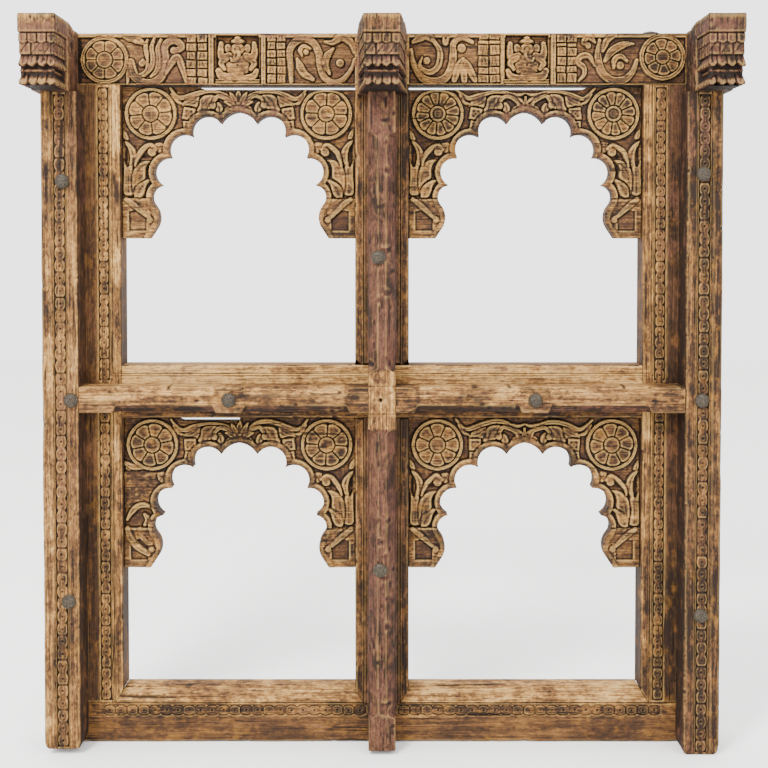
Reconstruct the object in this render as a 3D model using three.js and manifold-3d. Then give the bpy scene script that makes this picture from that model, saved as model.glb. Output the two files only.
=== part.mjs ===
// A carved wooden window frame: four lights under cusped arches, a carved head, three posts with
// capitals, and a bar across the middle. Millimetres, +Z up, the front towards -Y.
// The origin lies on the flat back, behind the middle of the crossing.

import * as THREE from 'three';
import { mergeVertices } from 'three/addons/utils/BufferGeometryUtils.js';
import Module from 'manifold-3d';

const wasm = await Module();
wasm.setup();

// Clear space between neighbouring pieces
const joint = 0.3;

// The lights and the members round them
const lightWidth = 468;
const upperLightHeight = 560;
const lowerLightHeight = 550;
const frameDepth = 52;
const mullionWidth = 108;
const stileWidth = 142;
const transomAbove = 63;
const transomBelow = 44;
const headHeight = 102;
const sillHeight = 106;
const sillFall = 10;
const sillFallWidth = 26;
const sillShoulderDrop = 28;

// A groove that follows each light
const edgeFillet = 17;
const grooveWidth = 4.5;
const grooveDepth = 2;

// Posts and bar, nailed on the front of the frame
const postProud = 58;
const sidePostWidth = 71;
const centrePostWidth = 54;
const centrePostFlat = 16;
const leftPostAboveFoot = 9;
const centrePostAboveFoot = 7;
const rightPostBelowFoot = 2;
const barProud = 58;
const barHeight = 51;
const barFlat = 19;
const stopSlope = 8;
const endBlock = 63;
const crossingBlock = 34;
const padLength = 47;
const padAt = 300;
const postBlockBelow = 30;
const postBlockAbove = 27;
const postFootBlock = 62;
const blockEdge = 1.5;

// Columns and rows of carved beads
const beadSink = 5;
const beadNotch = 3.5;
const beadNotchWidth = 5;
const beadMargin = 1.2;
const stileBeadWidth = 20;
const stileBeadPitch = 22;
const stileBeadFromLight = 35;
const postBeadWidth = 22;
const postBeadPitch = 24.5;
const postBeadFromEdge = 36;
const sillBeadHeight = 20;
const sillBeadPitch = 23;
const sillBeadBelowTop = 44;
const beadEndMargin = 6;

// Capitals over the posts
const capitalHeight = 133;
const capitalRise = 10;
const capitalProud = 150;
const capitalFront = 72;
const centreCapitalBack = 98;
const sideCapitalBack = 72;
const capitalStraight = 26;
const sideCapitalOffset = 13;
const capitalNotch = 4;
const tierOverlap = 0.6;

// Cusped arches, two halves in each light
const archHeight = 304;
const archThickness = 30;
const archSetBack = 12;
const archTopGap = 2.5;
const archCarving = 8;
const rimWidth = 16;
const footBorder = 10;
const rosetteRadius = 50;
const rosetteSides = 11;
const rosetteHollow = 0.86;
const rosetteHeart = 0.3;
const heartSides = 6;
const petalNotch = 0.55;
const petalTip = 0.97;
const rosetteFromJamb = 4;
const rosetteFromTop = 1.5;

// Carving of the head
const headCarving = 8;
const headBorder = 4;
const headRosetteRadius = 46;
const headPanelOverPost = 12;

// Iron nail heads, and the larger one driven into the top of the head
const nailRadius = 15;
const nailRise = 9;
const nailSides = 8;
const nailInset = 7;
const nailStep = 14;
const nailBelowHead = 195;
const nailAboveSill = 198;
const centreNailDrop = 148;
const centreNailRise = 62;
const topNailRadius = 19;
const topNailRise = 8;
const topNailFromPost = 53;

// Places worked out from the sizes
const mullionSide = mullionWidth / 2;
const jamb = mullionSide + lightWidth;
const outerSide = jamb + stileWidth;
const postInner = outerSide - sidePostWidth;
const sillTop = -(transomBelow + lowerLightHeight);
const sillBottom = sillTop - sillHeight;
const headBottom = transomAbove + upperLightHeight;
const headTop = headBottom + headHeight;
const capitalTop = headTop + capitalRise;
const capitalBottom = capitalTop - capitalHeight;
const leftPostBottom = sillBottom + leftPostAboveFoot;
const centrePostBottom = sillBottom + centrePostAboveFoot;
const rightPostBottom = sillBottom - rightPostBelowFoot;
const postBack = frameDepth + joint;
const postFront = frameDepth + postProud;
const barFront = frameDepth + barProud;
const capitalDepth = frameDepth + capitalProud;
const archFront = frameDepth - archSetBack;
const archBack = archFront - archThickness;
const lapDepth = frameDepth / 2;
const frontLapDepth = frameDepth + Math.min(postProud, barProud) / 2;

// Colours
const wood = (colour) => new THREE.MeshStandardMaterial({ color: colour, roughness: 0.75, metalness: 0 });
const paleWood = wood(0xb08a5c);
const brownWood = wood(0x9a7048);
const paintedWood = wood(0x87584a);
const iron = new THREE.MeshStandardMaterial({ color: 0x5a4a40, roughness: 0.6, metalness: 0.8 });

const model = new THREE.Group();

// Closed bodies

function solidOf(geometry) {
  const bare = geometry.index ? geometry.toNonIndexed() : geometry;
  bare.deleteAttribute('normal');
  bare.deleteAttribute('uv');
  const merged = mergeVertices(bare, 1e-3);
  const vertProperties = merged.attributes.position.array;
  const triVerts = Uint32Array.from(merged.index.array);
  return new wasm.Manifold(new wasm.Mesh({ numProp: 3, vertProperties, triVerts }));
}

function addPiece(name, solid, material) {
  const mesh = solid.getMesh();
  const geometry = new THREE.BufferGeometry();
  geometry.setAttribute('position', new THREE.BufferAttribute(Float32Array.from(mesh.vertProperties), 3));
  geometry.setIndex(new THREE.BufferAttribute(Uint32Array.from(mesh.triVerts), 1));
  geometry.computeVertexNormals();
  const piece = new THREE.Mesh(geometry, material);
  piece.name = name;
  model.add(piece);
}

function together(solids) {
  return solids.reduce((whole, next) => whole.add(next));
}

// A plate drawn in X and Z as seen from the front, between two depths in front of the back
function plate(points, backDepth, frontDepth) {
  const shape = new THREE.Shape(points.map(([x, z]) => new THREE.Vector2(x, z)));
  const geometry = new THREE.ExtrudeGeometry(shape, { depth: frontDepth - backDepth, bevelEnabled: false });
  geometry.rotateX(Math.PI / 2);
  geometry.translate(0, -backDepth, 0);
  return solidOf(geometry);
}

function block(left, right, bottom, top, backDepth, frontDepth) {
  return plate([[left, bottom], [right, bottom], [right, top], [left, top]], backDepth, frontDepth);
}

function disc(x, z, radius, sides, backDepth, frontDepth) {
  const points = [];
  for (let i = 0; i < sides; i += 1) {
    const angle = (i * 2 * Math.PI) / sides;
    points.push([x + radius * Math.cos(angle), z + radius * Math.sin(angle)]);
  }
  return plate(points, backDepth, frontDepth);
}

// A closed skin through outlines of equal point counts, flat at both ends
function loft(outlines, place) {
  const count = outlines[0].length;
  const position = [];
  outlines.forEach((outline, ring) => {
    outline.forEach(([a, b]) => position.push(...place(a, b, ring)));
  });
  const index = [];
  for (let ring = 0; ring < outlines.length - 1; ring += 1) {
    for (let i = 0; i < count; i += 1) {
      const here = ring * count + i;
      const next = ring * count + ((i + 1) % count);
      index.push(here, next, next + count, here, next + count, here + count);
    }
  }
  const lastRing = (outlines.length - 1) * count;
  for (const [a, b, c] of capFaces(outlines[0])) index.push(c, b, a);
  for (const [a, b, c] of capFaces(outlines.at(-1))) index.push(lastRing + a, lastRing + b, lastRing + c);
  if (signedVolume(position, index) < 0) index.reverse();
  const geometry = new THREE.BufferGeometry();
  geometry.setAttribute('position', new THREE.Float32BufferAttribute(position, 3));
  geometry.setIndex(index);
  return solidOf(geometry);
}

// Triangles that fill an outline and turn the same way as it does
function capFaces(outline) {
  const points = outline.map(([a, b]) => new THREE.Vector2(a, b));
  const faces = THREE.ShapeUtils.triangulateShape(points, []);
  const area = (face) => THREE.ShapeUtils.area(face.map((i) => points[i]));
  const total = faces.reduce((sum, face) => sum + area(face), 0);
  const sameTurn = total * THREE.ShapeUtils.area(points) > 0;
  return sameTurn ? faces : faces.map(([a, b, c]) => [a, c, b]);
}

// Negative where the faces point inwards
function signedVolume(position, index) {
  const corner = (i) => new THREE.Vector3().fromArray(position, 3 * index[i]);
  let volume = 0;
  for (let i = 0; i < index.length; i += 3) {
    volume += corner(i).dot(corner(i + 1).cross(corner(i + 2)));
  }
  return volume;
}

// Grooves that follow all four lights

function ring(left, right, bottom, top, inner, outer) {
  const shape = new THREE.Shape([
    new THREE.Vector2(left - outer, bottom - outer),
    new THREE.Vector2(right + outer, bottom - outer),
    new THREE.Vector2(right + outer, top + outer),
    new THREE.Vector2(left - outer, top + outer),
  ]);
  shape.holes.push(new THREE.Path([
    new THREE.Vector2(left - inner, bottom - inner),
    new THREE.Vector2(left - inner, top + inner),
    new THREE.Vector2(right + inner, top + inner),
    new THREE.Vector2(right + inner, bottom - inner),
  ]));
  const depth = grooveDepth + joint;
  const geometry = new THREE.ExtrudeGeometry(shape, { depth, bevelEnabled: false });
  geometry.rotateX(Math.PI / 2);
  geometry.translate(0, -(frameDepth - grooveDepth), 0);
  return solidOf(geometry);
}

function lightGrooves() {
  const rings = [];
  for (const side of [-1, 1]) {
    const left = side < 0 ? -jamb : mullionSide;
    const right = left + lightWidth;
    for (const [bottom, top] of [[transomAbove, headBottom], [sillTop - sillFall, -transomBelow]]) {
      rings.push(ring(left, right, bottom, top, edgeFillet, edgeFillet + grooveWidth));
    }
  }
  return together(rings);
}

const grooves = lightGrooves();

// Beads: a sunk channel with a strip of flat-topped beads in it, parted by notches

function beadProfile(from, to, pitch, face) {
  const count = Math.max(1, Math.round((to - from) / pitch));
  const step = (to - from) / count;
  const floor = face - beadSink - 1;
  const half = beadNotchWidth / 2;
  const points = [[from, floor], [to, floor]];
  for (let i = count; i > 0; i -= 1) {
    points.push([from + i * step - half, face]);
    points.push([from + (i - 1) * step + half, face]);
    if (i > 1) points.push([from + (i - 1) * step, face - beadNotch]);
  }
  return points;
}

// The strip lies between two sides of its channel and runs up (column) or across (row)
function beadStrip(profile, low, width, runsUp) {
  const shape = new THREE.Shape(profile.map(([a, b]) => new THREE.Vector2(a, b)));
  const geometry = new THREE.ExtrudeGeometry(shape, { depth: width, bevelEnabled: false });
  const basis = new THREE.Matrix4();
  const out = new THREE.Vector3(0, -1, 0);
  if (runsUp) {
    basis.makeBasis(new THREE.Vector3(0, 0, 1), out, new THREE.Vector3(1, 0, 0));
    basis.setPosition(low, 0, 0);
  } else {
    basis.makeBasis(new THREE.Vector3(1, 0, 0), out, new THREE.Vector3(0, 0, -1));
    basis.setPosition(0, 0, low + width);
  }
  geometry.applyMatrix4(basis);
  return solidOf(geometry);
}

function beadColumn(member, x, width, bottom, top, pitch, face) {
  const half = width / 2;
  const floor = face - beadSink;
  const channel = block(x - half - beadMargin, x + half + beadMargin, bottom, top, floor, face + joint);
  const strip = beadStrip(beadProfile(bottom, top, pitch, face), x - half, width, true);
  return member.subtract(channel).add(strip);
}

function beadRow(member, z, height, left, right, pitch, face) {
  const half = height / 2;
  const floor = face - beadSink;
  const channel = block(left, right, z - half - beadMargin, z + half + beadMargin, floor, face + joint);
  const strip = beadStrip(beadProfile(left, right, pitch, face), z - half, height, false);
  return member.subtract(channel).add(strip);
}

// Frame members

const sillShoulder = sillTop - sillShoulderDrop;

function buildSill() {
  const half = outerSide;
  const outline = [[-half, sillBottom], [half, sillBottom], [half, sillShoulder]];
  outline.push([jamb + edgeFillet, sillShoulder], [jamb, sillTop], [mullionSide, sillTop]);
  outline.push([mullionSide - edgeFillet, sillShoulder], [-mullionSide + edgeFillet, sillShoulder]);
  outline.push([-mullionSide, sillTop], [-jamb, sillTop], [-jamb - edgeFillet, sillShoulder]);
  outline.push([-half, sillShoulder]);
  let sill = plate(outline, 0, frameDepth);
  const wedge = [[-frameDepth, sillTop - sillFall], [-frameDepth - 1, sillTop + 1]];
  const fallBack = -frameDepth + sillFallWidth;
  wedge.push([fallBack, sillTop + 1], [fallBack, sillTop]);
  const ends = [jamb + edgeFillet, -jamb - edgeFillet];
  sill = sill.subtract(loft([wedge, wedge], (y, z, ringIndex) => [ends[ringIndex], y, z]));
  for (const side of [-1, 1]) {
    const near = side * (centrePostWidth / 2 + beadEndMargin);
    const far = side * (postInner - beadEndMargin);
    const z = sillTop - sillBeadBelowTop;
    const [left, right] = [Math.min(near, far), Math.max(near, far)];
    sill = beadRow(sill, z, sillBeadHeight, left, right, sillBeadPitch, frameDepth);
  }
  return sill.subtract(grooves);
}

function buildStile(side) {
  const bottom = sillShoulder + joint;
  const inner = jamb + joint;
  const outline = [[jamb + edgeFillet, bottom], [outerSide, bottom], [outerSide, headBottom - joint]];
  outline.push([inner, headBottom - joint], [inner, sillTop + joint]);
  let stile = plate(outline.map(([x, z]) => [side * x, z]), 0, frameDepth);
  const beadX = side * (jamb + stileBeadFromLight);
  const barHalf = barHeight / 2;
  const spans = [[bottom + beadEndMargin, -barHalf - beadEndMargin]];
  spans.push([barHalf + beadEndMargin, headBottom - joint - beadEndMargin]);
  for (const [from, to] of spans) {
    stile = beadColumn(stile, beadX, stileBeadWidth, from, to, stileBeadPitch, frameDepth);
  }
  return stile.subtract(grooves);
}

function buildMullion() {
  const side = mullionSide - joint;
  const foot = mullionSide - edgeFillet - joint;
  const bottom = sillShoulder + joint;
  const outline = [[-foot, bottom], [foot, bottom], [side, sillTop + joint], [side, headBottom - joint]];
  outline.push([-side, headBottom - joint], [-side, sillTop + joint]);
  const lap = block(-mullionWidth, mullionWidth, -transomBelow, transomAbove, lapDepth, frameDepth + 1);
  return plate(outline, 0, frameDepth).subtract(lap).subtract(grooves);
}

function buildTransom() {
  const half = jamb;
  const low = -transomBelow + joint;
  const high = transomAbove - joint;
  const lap = block(-mullionSide, mullionSide, low - 1, high + 1, -1, lapDepth + joint);
  return block(-half, half, low, high, 0, frameDepth).subtract(lap).subtract(grooves);
}

// Posts and bar

// Half an octagon standing on its back, with its front corners cut by the chamfer
function barSection(half, back, front, chamfer) {
  const flat = half - chamfer;
  return [[-half, back], [half, back], [half, front - chamfer], [flat, front], [-flat, front],
    [-half, front - chamfer]];
}

// Chamfered lengths between square blocks: stops lists where each block starts and ends
function stopChamfered(half, back, front, chamfer, blocks) {
  const outlines = [];
  const places = [];
  const put = (at, cut) => {
    places.push(at);
    outlines.push(barSection(half, back, front, cut));
  };
  blocks.forEach(([from, to], i) => {
    if (i > 0) put(from - stopSlope, chamfer);
    put(from, blockEdge);
    put(to, blockEdge);
    if (i < blocks.length - 1) put(to + stopSlope, chamfer);
  });
  return { outlines, places };
}

function buildBar() {
  const half = barHeight / 2;
  const end = postInner - joint;
  const pad = padLength / 2;
  const inner = centrePostWidth / 2 + crossingBlock;
  const blocks = [[-end, -end + endBlock], [-padAt - pad, -padAt + pad], [-inner, inner]];
  blocks.push([padAt - pad, padAt + pad], [end - endBlock, end]);
  const { outlines, places } = stopChamfered(half, postBack, barFront, half - barFlat / 2, blocks);
  const bar = loft(outlines, (a, depth, i) => [places[i], -depth, a]);
  const lapHalf = centrePostWidth / 2 + joint;
  const lap = block(-lapHalf, lapHalf, -barHeight, barHeight, frontLapDepth, barFront + 1);
  return bar.subtract(lap);
}

function buildCentrePost() {
  const half = centrePostWidth / 2;
  const barHalf = barHeight / 2;
  const top = capitalBottom - joint;
  const blocks = [[centrePostBottom, centrePostBottom + postFootBlock]];
  blocks.push([-barHalf - postBlockBelow, barHalf + postBlockAbove], [top - postFootBlock / 2, top]);
  const { outlines, places } = stopChamfered(half, postBack, postFront, half - centrePostFlat / 2, blocks);
  const post = loft(outlines, (a, depth, i) => [-a, -depth, places[i]]);
  const lapHalf = barHalf + joint;
  const lap = block(-centrePostWidth, centrePostWidth, -lapHalf, lapHalf, 0, frontLapDepth + joint);
  return post.subtract(lap);
}

function buildSidePost(side) {
  const inner = side * postInner;
  const outer = side * outerSide;
  const top = capitalBottom - joint;
  const [left, right] = [Math.min(inner, outer), Math.max(inner, outer)];
  const bottom = side < 0 ? leftPostBottom : rightPostBottom;
  const post = block(left, right, bottom, top, postBack, postFront);
  const beadX = side * (outerSide - postBeadFromEdge);
  const from = bottom + beadEndMargin;
  return beadColumn(post, beadX, postBeadWidth, from, top - beadEndMargin, postBeadPitch, postFront);
}

// Capitals

// The plan of a capital, shrunk by an inset: a straight strip at the back, then sides that run, or
// are canted, to the front. Each face may be cut into pointed lobes, parted by notches.
function capitalPlan(back, inset, lobes) {
  const backHalf = back / 2 - inset;
  const frontHalf = capitalFront / 2 - inset;
  const turn = postBack + capitalStraight;
  const front = capitalDepth - inset;
  const corners = [[backHalf, turn], [frontHalf, front], [-frontHalf, front], [-backHalf, turn]];
  const cuts = lobes ? [[0, capitalNotch], [0.5, 0]] : [[0, 0]];
  const parts = Math.max(1, lobes);
  const points = [[backHalf, postBack]];
  for (let face = 0; face < 3; face += 1) {
    const from = corners[face];
    const to = corners[face + 1];
    const across = [to[0] - from[0], to[1] - from[1]];
    const length = Math.hypot(...across);
    const inwards = [-across[1] / length, across[0] / length];
    for (let i = 0; i < parts; i += 1) {
      for (const [share, cut] of cuts) {
        const along = (i + share) / parts;
        points.push([0, 1].map((axis) => from[axis] + across[axis] * along + inwards[axis] * cut));
      }
    }
  }
  return [...points, corners[3], [-backHalf, postBack]];
}

// Tiers from the top down: share of the height, inset at the top and at the bottom, lobes
const capitalTiers = [
  { share: 0.27, above: 0, below: 0, lobes: 0 },
  { share: 0.14, above: 2.5, below: 1.5, lobes: 0 },
  { share: 0.165, above: 4, below: 4, lobes: 0 },
  { share: 0.175, above: 8.5, below: 0, lobes: 3 },
  { share: 0.1, above: 12, below: 12, lobes: 0 },
  { share: 0.15, above: 7.5, below: 3, lobes: 3 },
];
const neckTier = 4;

function buildCapital(centre, back) {
  let top = capitalTop;
  const tiers = capitalTiers.map(({ share, above, below, lobes }, i) => {
    const bottom = top - share * capitalHeight;
    const outlines = [capitalPlan(back, below, lobes), capitalPlan(back, above, lobes)];
    const places = [bottom - (i === neckTier ? tierOverlap : 0), top + (i > 0 ? tierOverlap : 0)];
    top = bottom;
    return loft(outlines, (x, depth, end) => [centre - x, -depth, places[end]]);
  });
  return together(tiers);
}

// Free carving, drawn in shares of its own panel

// Points after a and up to b on the circle through a, m and b
function arcThrough(a, m, b, steps) {
  const square = ([x, y]) => x * x + y * y;
  const twice = 2 * (a[0] * (m[1] - b[1]) + m[0] * (b[1] - a[1]) + b[0] * (a[1] - m[1]));
  const centre = [0, 1].map((axis) => {
    const other = 1 - axis;
    const sign = axis === 0 ? 1 : -1;
    const sum = square(a) * (m[other] - b[other]) + square(m) * (b[other] - a[other])
      + square(b) * (a[other] - m[other]);
    return (sign * sum) / twice;
  });
  const angle = (p) => Math.atan2(p[1] - centre[1], p[0] - centre[0]);
  const turn = (to, from) => (to - from + 4 * Math.PI) % (2 * Math.PI);
  const start = angle(a);
  let sweep = turn(angle(b), start);
  if (turn(angle(m), start) > sweep) sweep -= 2 * Math.PI;
  const radius = Math.hypot(a[0] - centre[0], a[1] - centre[1]);
  const points = [];
  for (let i = 1; i <= steps; i += 1) {
    const at = start + (sweep * i) / steps;
    points.push([centre[0] + radius * Math.cos(at), centre[1] + radius * Math.sin(at)]);
  }
  return { points, centre };
}

// A smooth line through a few points, widened into an outline that comes to a point at its ends
function ribbon(points, width, steps, fullness = 0.6) {
  const line = new THREE.SplineCurve(points.map(([x, z]) => new THREE.Vector2(x, z)));
  const left = [];
  const right = [];
  for (let i = 1; i < steps; i += 1) {
    const { x, y } = line.getPoint(i / steps);
    const way = line.getTangent(i / steps);
    const half = (width / 2) * Math.sin((Math.PI * i) / steps) ** fullness;
    left.push([x - way.y * half, y + way.x * half]);
    right.push([x + way.y * half, y - way.x * half]);
  }
  return [points[0], ...right, points.at(-1), ...left.reverse()];
}

// A rosette: a ring, a flower with parted petals in it, and a round heart
function rosette([x, z], radius, petals, ground, face) {
  const hollow = radius * rosetteHollow;
  const plateDisc = disc(x, z, radius, rosetteSides, ground - 1, face);
  const well = disc(x, z, hollow, rosetteSides, ground + 1, face + 1);
  const points = [];
  const step = (2 * Math.PI) / petals;
  for (let i = 0; i < petals; i += 1) {
    for (const [share, reach] of [[0, petalNotch], [0.5, petalTip]]) {
      const angle = (i + share) * step;
      points.push([x + hollow * reach * Math.cos(angle), z + hollow * reach * Math.sin(angle)]);
    }
  }
  const flower = plate(points, ground, face - 1);
  const heart = disc(x, z, radius * rosetteHeart, heartSides, ground, face);
  return plateDisc.subtract(well).add(flower).add(heart);
}

// Cusped arches

// The edge of one half, in shares of its width (from the jamb) and height (from the top)
const archCrown = [1, 0.163];
const archLobes = [
  { through: [0.91, 0.188], to: [0.845, 0.242], steps: 2 },
  { through: [0.722, 0.191], to: [0.603, 0.329], steps: 4 },
  { through: [0.43, 0.345], to: [0.417, 0.467], steps: 4 },
  { through: [0.272, 0.55], to: [0.34, 0.648], steps: 4 },
  { through: [0.25, 0.712], to: [0.275, 0.78], steps: 2 },
  { through: [0.312, 0.85], to: [0.283, 0.934], steps: 2 },
];
const archFoot = [0.2265, 1];

// Stems and leaves of one half, in the same shares: points along each, its greatest width in mm
const archLeaves = [
  { along: [[0.99, 0.09], [0.89, 0.05], [0.81, 0.08], [0.84, 0.19]], width: 13 },
  { along: [[0.8, 0.03], [0.69, 0.06], [0.64, 0.16]], width: 20 },
  { along: [[0.62, 0.06], [0.53, 0.15], [0.55, 0.24]], width: 18 },
  { along: [[0.01, 0.36], [0.1, 0.45], [0.06, 0.58]], width: 15 },
  { along: [[0.11, 0.5], [0.15, 0.42], [0.25, 0.41]], width: 14 },
  { along: [[0.23, 0.5], [0.1, 0.57], [0.07, 0.69]], width: 22 },
];
const archRib = { along: [[0.03, 0.74], [0.14, 0.81], [0.24, 0.88]], width: 15 };

// The carved band that follows the edge: the same lobes, moved into the wood by the rim's width
function rimInner(crown, lobes) {
  const normals = lobes.map(({ from, through, to, centre }) => {
    const woodwards = [-(to[1] - from[1]), to[0] - from[0]];
    const out = [through[0] - centre[0], through[1] - centre[1]];
    const sign = out[0] * woodwards[0] + out[1] * woodwards[1] > 0 ? 1 : -1;
    return (p) => {
      const length = Math.hypot(p[0] - centre[0], p[1] - centre[1]);
      return [(sign * (p[0] - centre[0])) / length, (sign * (p[1] - centre[1])) / length];
    };
  });
  const moved = (p, first, second) => {
    const sum = [first[0] + second[0], first[1] + second[1]];
    const length = Math.hypot(...sum);
    const middle = [sum[0] / length, sum[1] / length];
    const share = Math.max(0.45, middle[0] * first[0] + middle[1] * first[1]);
    return [p[0] + (middle[0] * rimWidth) / share, p[1] + (middle[1] * rimWidth) / share];
  };
  let from = [crown[0], crown[1] - rimWidth];
  const points = [from];
  lobes.forEach((lobe, i) => {
    const normal = normals[i];
    const next = normals[Math.min(i + 1, lobes.length - 1)];
    const through = moved(lobe.through, normal(lobe.through), normal(lobe.through));
    const to = moved(lobe.to, normal(lobe.to), next(lobe.to));
    points.push(...arcThrough(from, through, to, Math.ceil(lobe.steps / 2)).points);
    from = to;
  });
  return points;
}

function buildArchHalf(light, side, petals) {
  const gap = joint;
  const width = lightWidth / 2 - gap - joint / 2;
  const edge = light.middle + side * (lightWidth / 2 - gap);
  const place = ([across, down]) => [edge - side * across, light.top - archTopGap - down];
  const inMm = ([u, v]) => [u * width, v * archHeight];
  const crown = inMm(archCrown);
  let from = crown;
  const lobes = archLobes.map(({ through, to, steps }) => {
    const lobe = { from, through: inMm(through), to: inMm(to), steps };
    const { points, centre } = arcThrough(lobe.from, lobe.through, lobe.to, steps);
    from = lobe.to;
    return { ...lobe, points, centre };
  });
  const inside = [crown, ...lobes.flatMap(({ points }) => points)];
  const outline = [[0, 0], [width, 0], ...inside, inMm(archFoot), [0, archHeight]];
  const ground = archFront - archCarving;
  const rim = rimInner(crown, lobes);
  const fieldFoot = archHeight - footBorder;
  const field = [[-1, -1], [width + 1, -1], [width + 1, rim[0][1]], ...rim, [rim.at(-1)[0], fieldFoot]];
  field.push([-1, fieldFoot]);
  const board = plate(outline.map(place), archBack, archFront);
  const carved = [board.subtract(plate(field.map(place), ground, archFront + 1))];
  const centre = place([rosetteRadius + rosetteFromJamb, rosetteRadius + rosetteFromTop]);
  carved.push(rosette(centre, rosetteRadius, petals, ground, archFront));
  for (const { along, width: leafWidth } of [...archLeaves, archRib]) {
    const points = ribbon(along.map((p) => place(inMm(p))), leafWidth, along.length);
    carved.push(plate(points, ground - 1, archFront - 1));
  }
  return together(carved);
}

// The carved head

const headPanelStart = mullionSide;
const headPanelLength = postInner + headPanelOverPost - headPanelStart;

// Scrolls, leaves and balls of each side, in shares of the panel: out from the middle, and up
const leftScrolls = [
  {
    along: [[0.235, 0.1], [0.2, 0.5], [0.17, 0.88], [0.13, 0.5], [0.075, 0.1], [0.02, 0.35], [0.01, 0.8]],
    width: 12,
  },
  { along: [[0.2, 0.12], [0.18, 0.45], [0.15, 0.7]], width: 11 },
  { along: [[0.03, 0.75], [0.06, 0.9], [0.09, 0.7], [0.055, 0.5]], width: 11 },
  { along: [[0.845, 0.85], [0.85, 0.45], [0.8, 0.08], [0.72, 0.1], [0.69, 0.5], [0.7, 0.88]], width: 13 },
  { along: [[0.79, 0.3], [0.75, 0.45], [0.77, 0.7], [0.81, 0.6]], width: 11 },
  { along: [[0.655, 0.9], [0.66, 0.5], [0.62, 0.12]], width: 14 },
];
const leftBalls = [[0.165, 0.52], [0.66, 0.8]];
const rightScrolls = [
  { along: [[0.01, 0.85], [0.02, 0.4], [0.08, 0.08], [0.13, 0.4], [0.17, 0.85], [0.23, 0.85]], width: 13 },
  { along: [[0.11, 0.9], [0.09, 0.6], [0.07, 0.35]], width: 11 },
  { along: [[0.16, 0.6], [0.2, 0.35], [0.24, 0.1]], width: 17 },
  { along: [[0.2, 0.4], [0.17, 0.25], [0.15, 0.1]], width: 12 },
  { along: [[0.61, 0.9], [0.65, 0.8], [0.63, 0.4], [0.61, 0.1]], width: 13 },
  { along: [[0.68, 0.85], [0.69, 0.35], [0.75, 0.08], [0.81, 0.35], [0.82, 0.88]], width: 13 },
  { along: [[0.78, 0.3], [0.74, 0.5], [0.76, 0.8]], width: 11 },
];
const rightBalls = [[0.19, 0.78], [0.065, 0.62]];
const ballRadius = 8;

// A seated relief figure with a round belly, an elephant's head, crossed legs and raised hands
const figureLumps = [
  { at: [0, 0.38], size: [0.21, 0.22], proud: 1.2 },
  { at: [0, 0.68], size: [0.15, 0.14], proud: 1.2 },
  { at: [0, 0.87], size: [0.11, 0.09], proud: 0.9 },
  { at: [-0.24, 0.2], size: [0.2, 0.1], proud: 1.1 },
  { at: [0.24, 0.2], size: [0.2, 0.1], proud: 1.1 },
];
const figureLimbs = [
  { along: [[0, 0.7], [0.04, 0.55], [-0.04, 0.42], [-0.13, 0.45]], width: 0.1 },
  { along: [[-0.12, 0.56], [-0.3, 0.5], [-0.36, 0.72]], width: 0.11 },
  { along: [[0.12, 0.56], [0.3, 0.5], [0.36, 0.72]], width: 0.11 },
];

function lump([x, z], [wide, high], proud, ground) {
  const geometry = new THREE.SphereGeometry(1, 6, 3);
  geometry.rotateX(Math.PI / 2);
  geometry.scale(wide, proud, high);
  geometry.translate(x, -ground, z);
  return solidOf(geometry);
}

function seatedFigure(x, bottom, height, ground, proud) {
  const place = ([u, v]) => [x + u * height, bottom + v * height];
  const parts = figureLumps.map(({ at, size, proud: share }) => {
    const reach = size.map((value) => value * height);
    return lump(place(at), reach, proud * share, ground);
  });
  for (const { along, width } of figureLimbs) {
    const points = ribbon(along.map(place), width * height, 4, 0.3);
    parts.push(plate(points, ground - 1, ground + proud));
  }
  const base = height * 0.09;
  const seat = height * 0.44;
  parts.push(block(x - seat, x + seat, bottom, bottom + base, ground - 1, ground + proud));
  return together(parts);
}

// Upright bars of each side: from and to, in shares of the panel's length
const leftBars = [[0.255, 0.28], [0.292, 0.314], [0.325, 0.34], [0.512, 0.53], [0.54, 0.563], [0.58, 0.61]];
const rightBars = [[0.255, 0.28], [0.297, 0.32], [0.331, 0.346], [0.512, 0.528], [0.54, 0.565], [0.58, 0.6]];
const figureMiddle = 0.426;
const headRosetteAt = [0.905, 0.48];

function buildHeadPanel(side) {
  const ground = frameDepth - headCarving;
  const bottom = headBottom + headBorder;
  const height = headHeight - 2 * headBorder;
  const face = frameDepth;
  const place = ([out, up]) => [side * (headPanelStart + out * headPanelLength), bottom + up * height];
  const [scrolls, balls] = side < 0 ? [leftScrolls, leftBalls] : [rightScrolls, rightBalls];
  const carved = scrolls.map(({ along, width }) => {
    return plate(ribbon(along.map(place), width, along.length + 1, 0.35), ground - 1, face);
  });
  for (const at of balls) carved.push(disc(...place(at), ballRadius, 7, ground - 1, face));
  for (const [from, to] of side < 0 ? leftBars : rightBars) {
    const xs = [place([from, 0])[0], place([to, 0])[0]].sort((a, b) => a - b);
    carved.push(block(xs[0], xs[1], bottom - 1, bottom + height + 1, ground - 1, face));
  }
  const figure = place([figureMiddle, 0]);
  carved.push(seatedFigure(figure[0], bottom, height, ground, headCarving));
  carved.push(rosette(place(headRosetteAt), headRosetteRadius, 8, ground, face));
  return together(carved);
}

function buildHead() {
  let head = block(-outerSide, outerSide, headBottom, headTop, 0, frameDepth);
  for (const side of [-1, 1]) {
    const ends = [side * headPanelStart, side * (headPanelStart + headPanelLength)].sort((a, b) => a - b);
    const low = headBottom + headBorder;
    const high = headTop - headBorder;
    const ground = frameDepth - headCarving;
    head = head.subtract(block(ends[0], ends[1], low, high, ground, frameDepth + 1));
    head = head.add(buildHeadPanel(side));
  }
  return head;
}

// Iron nail heads

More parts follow.
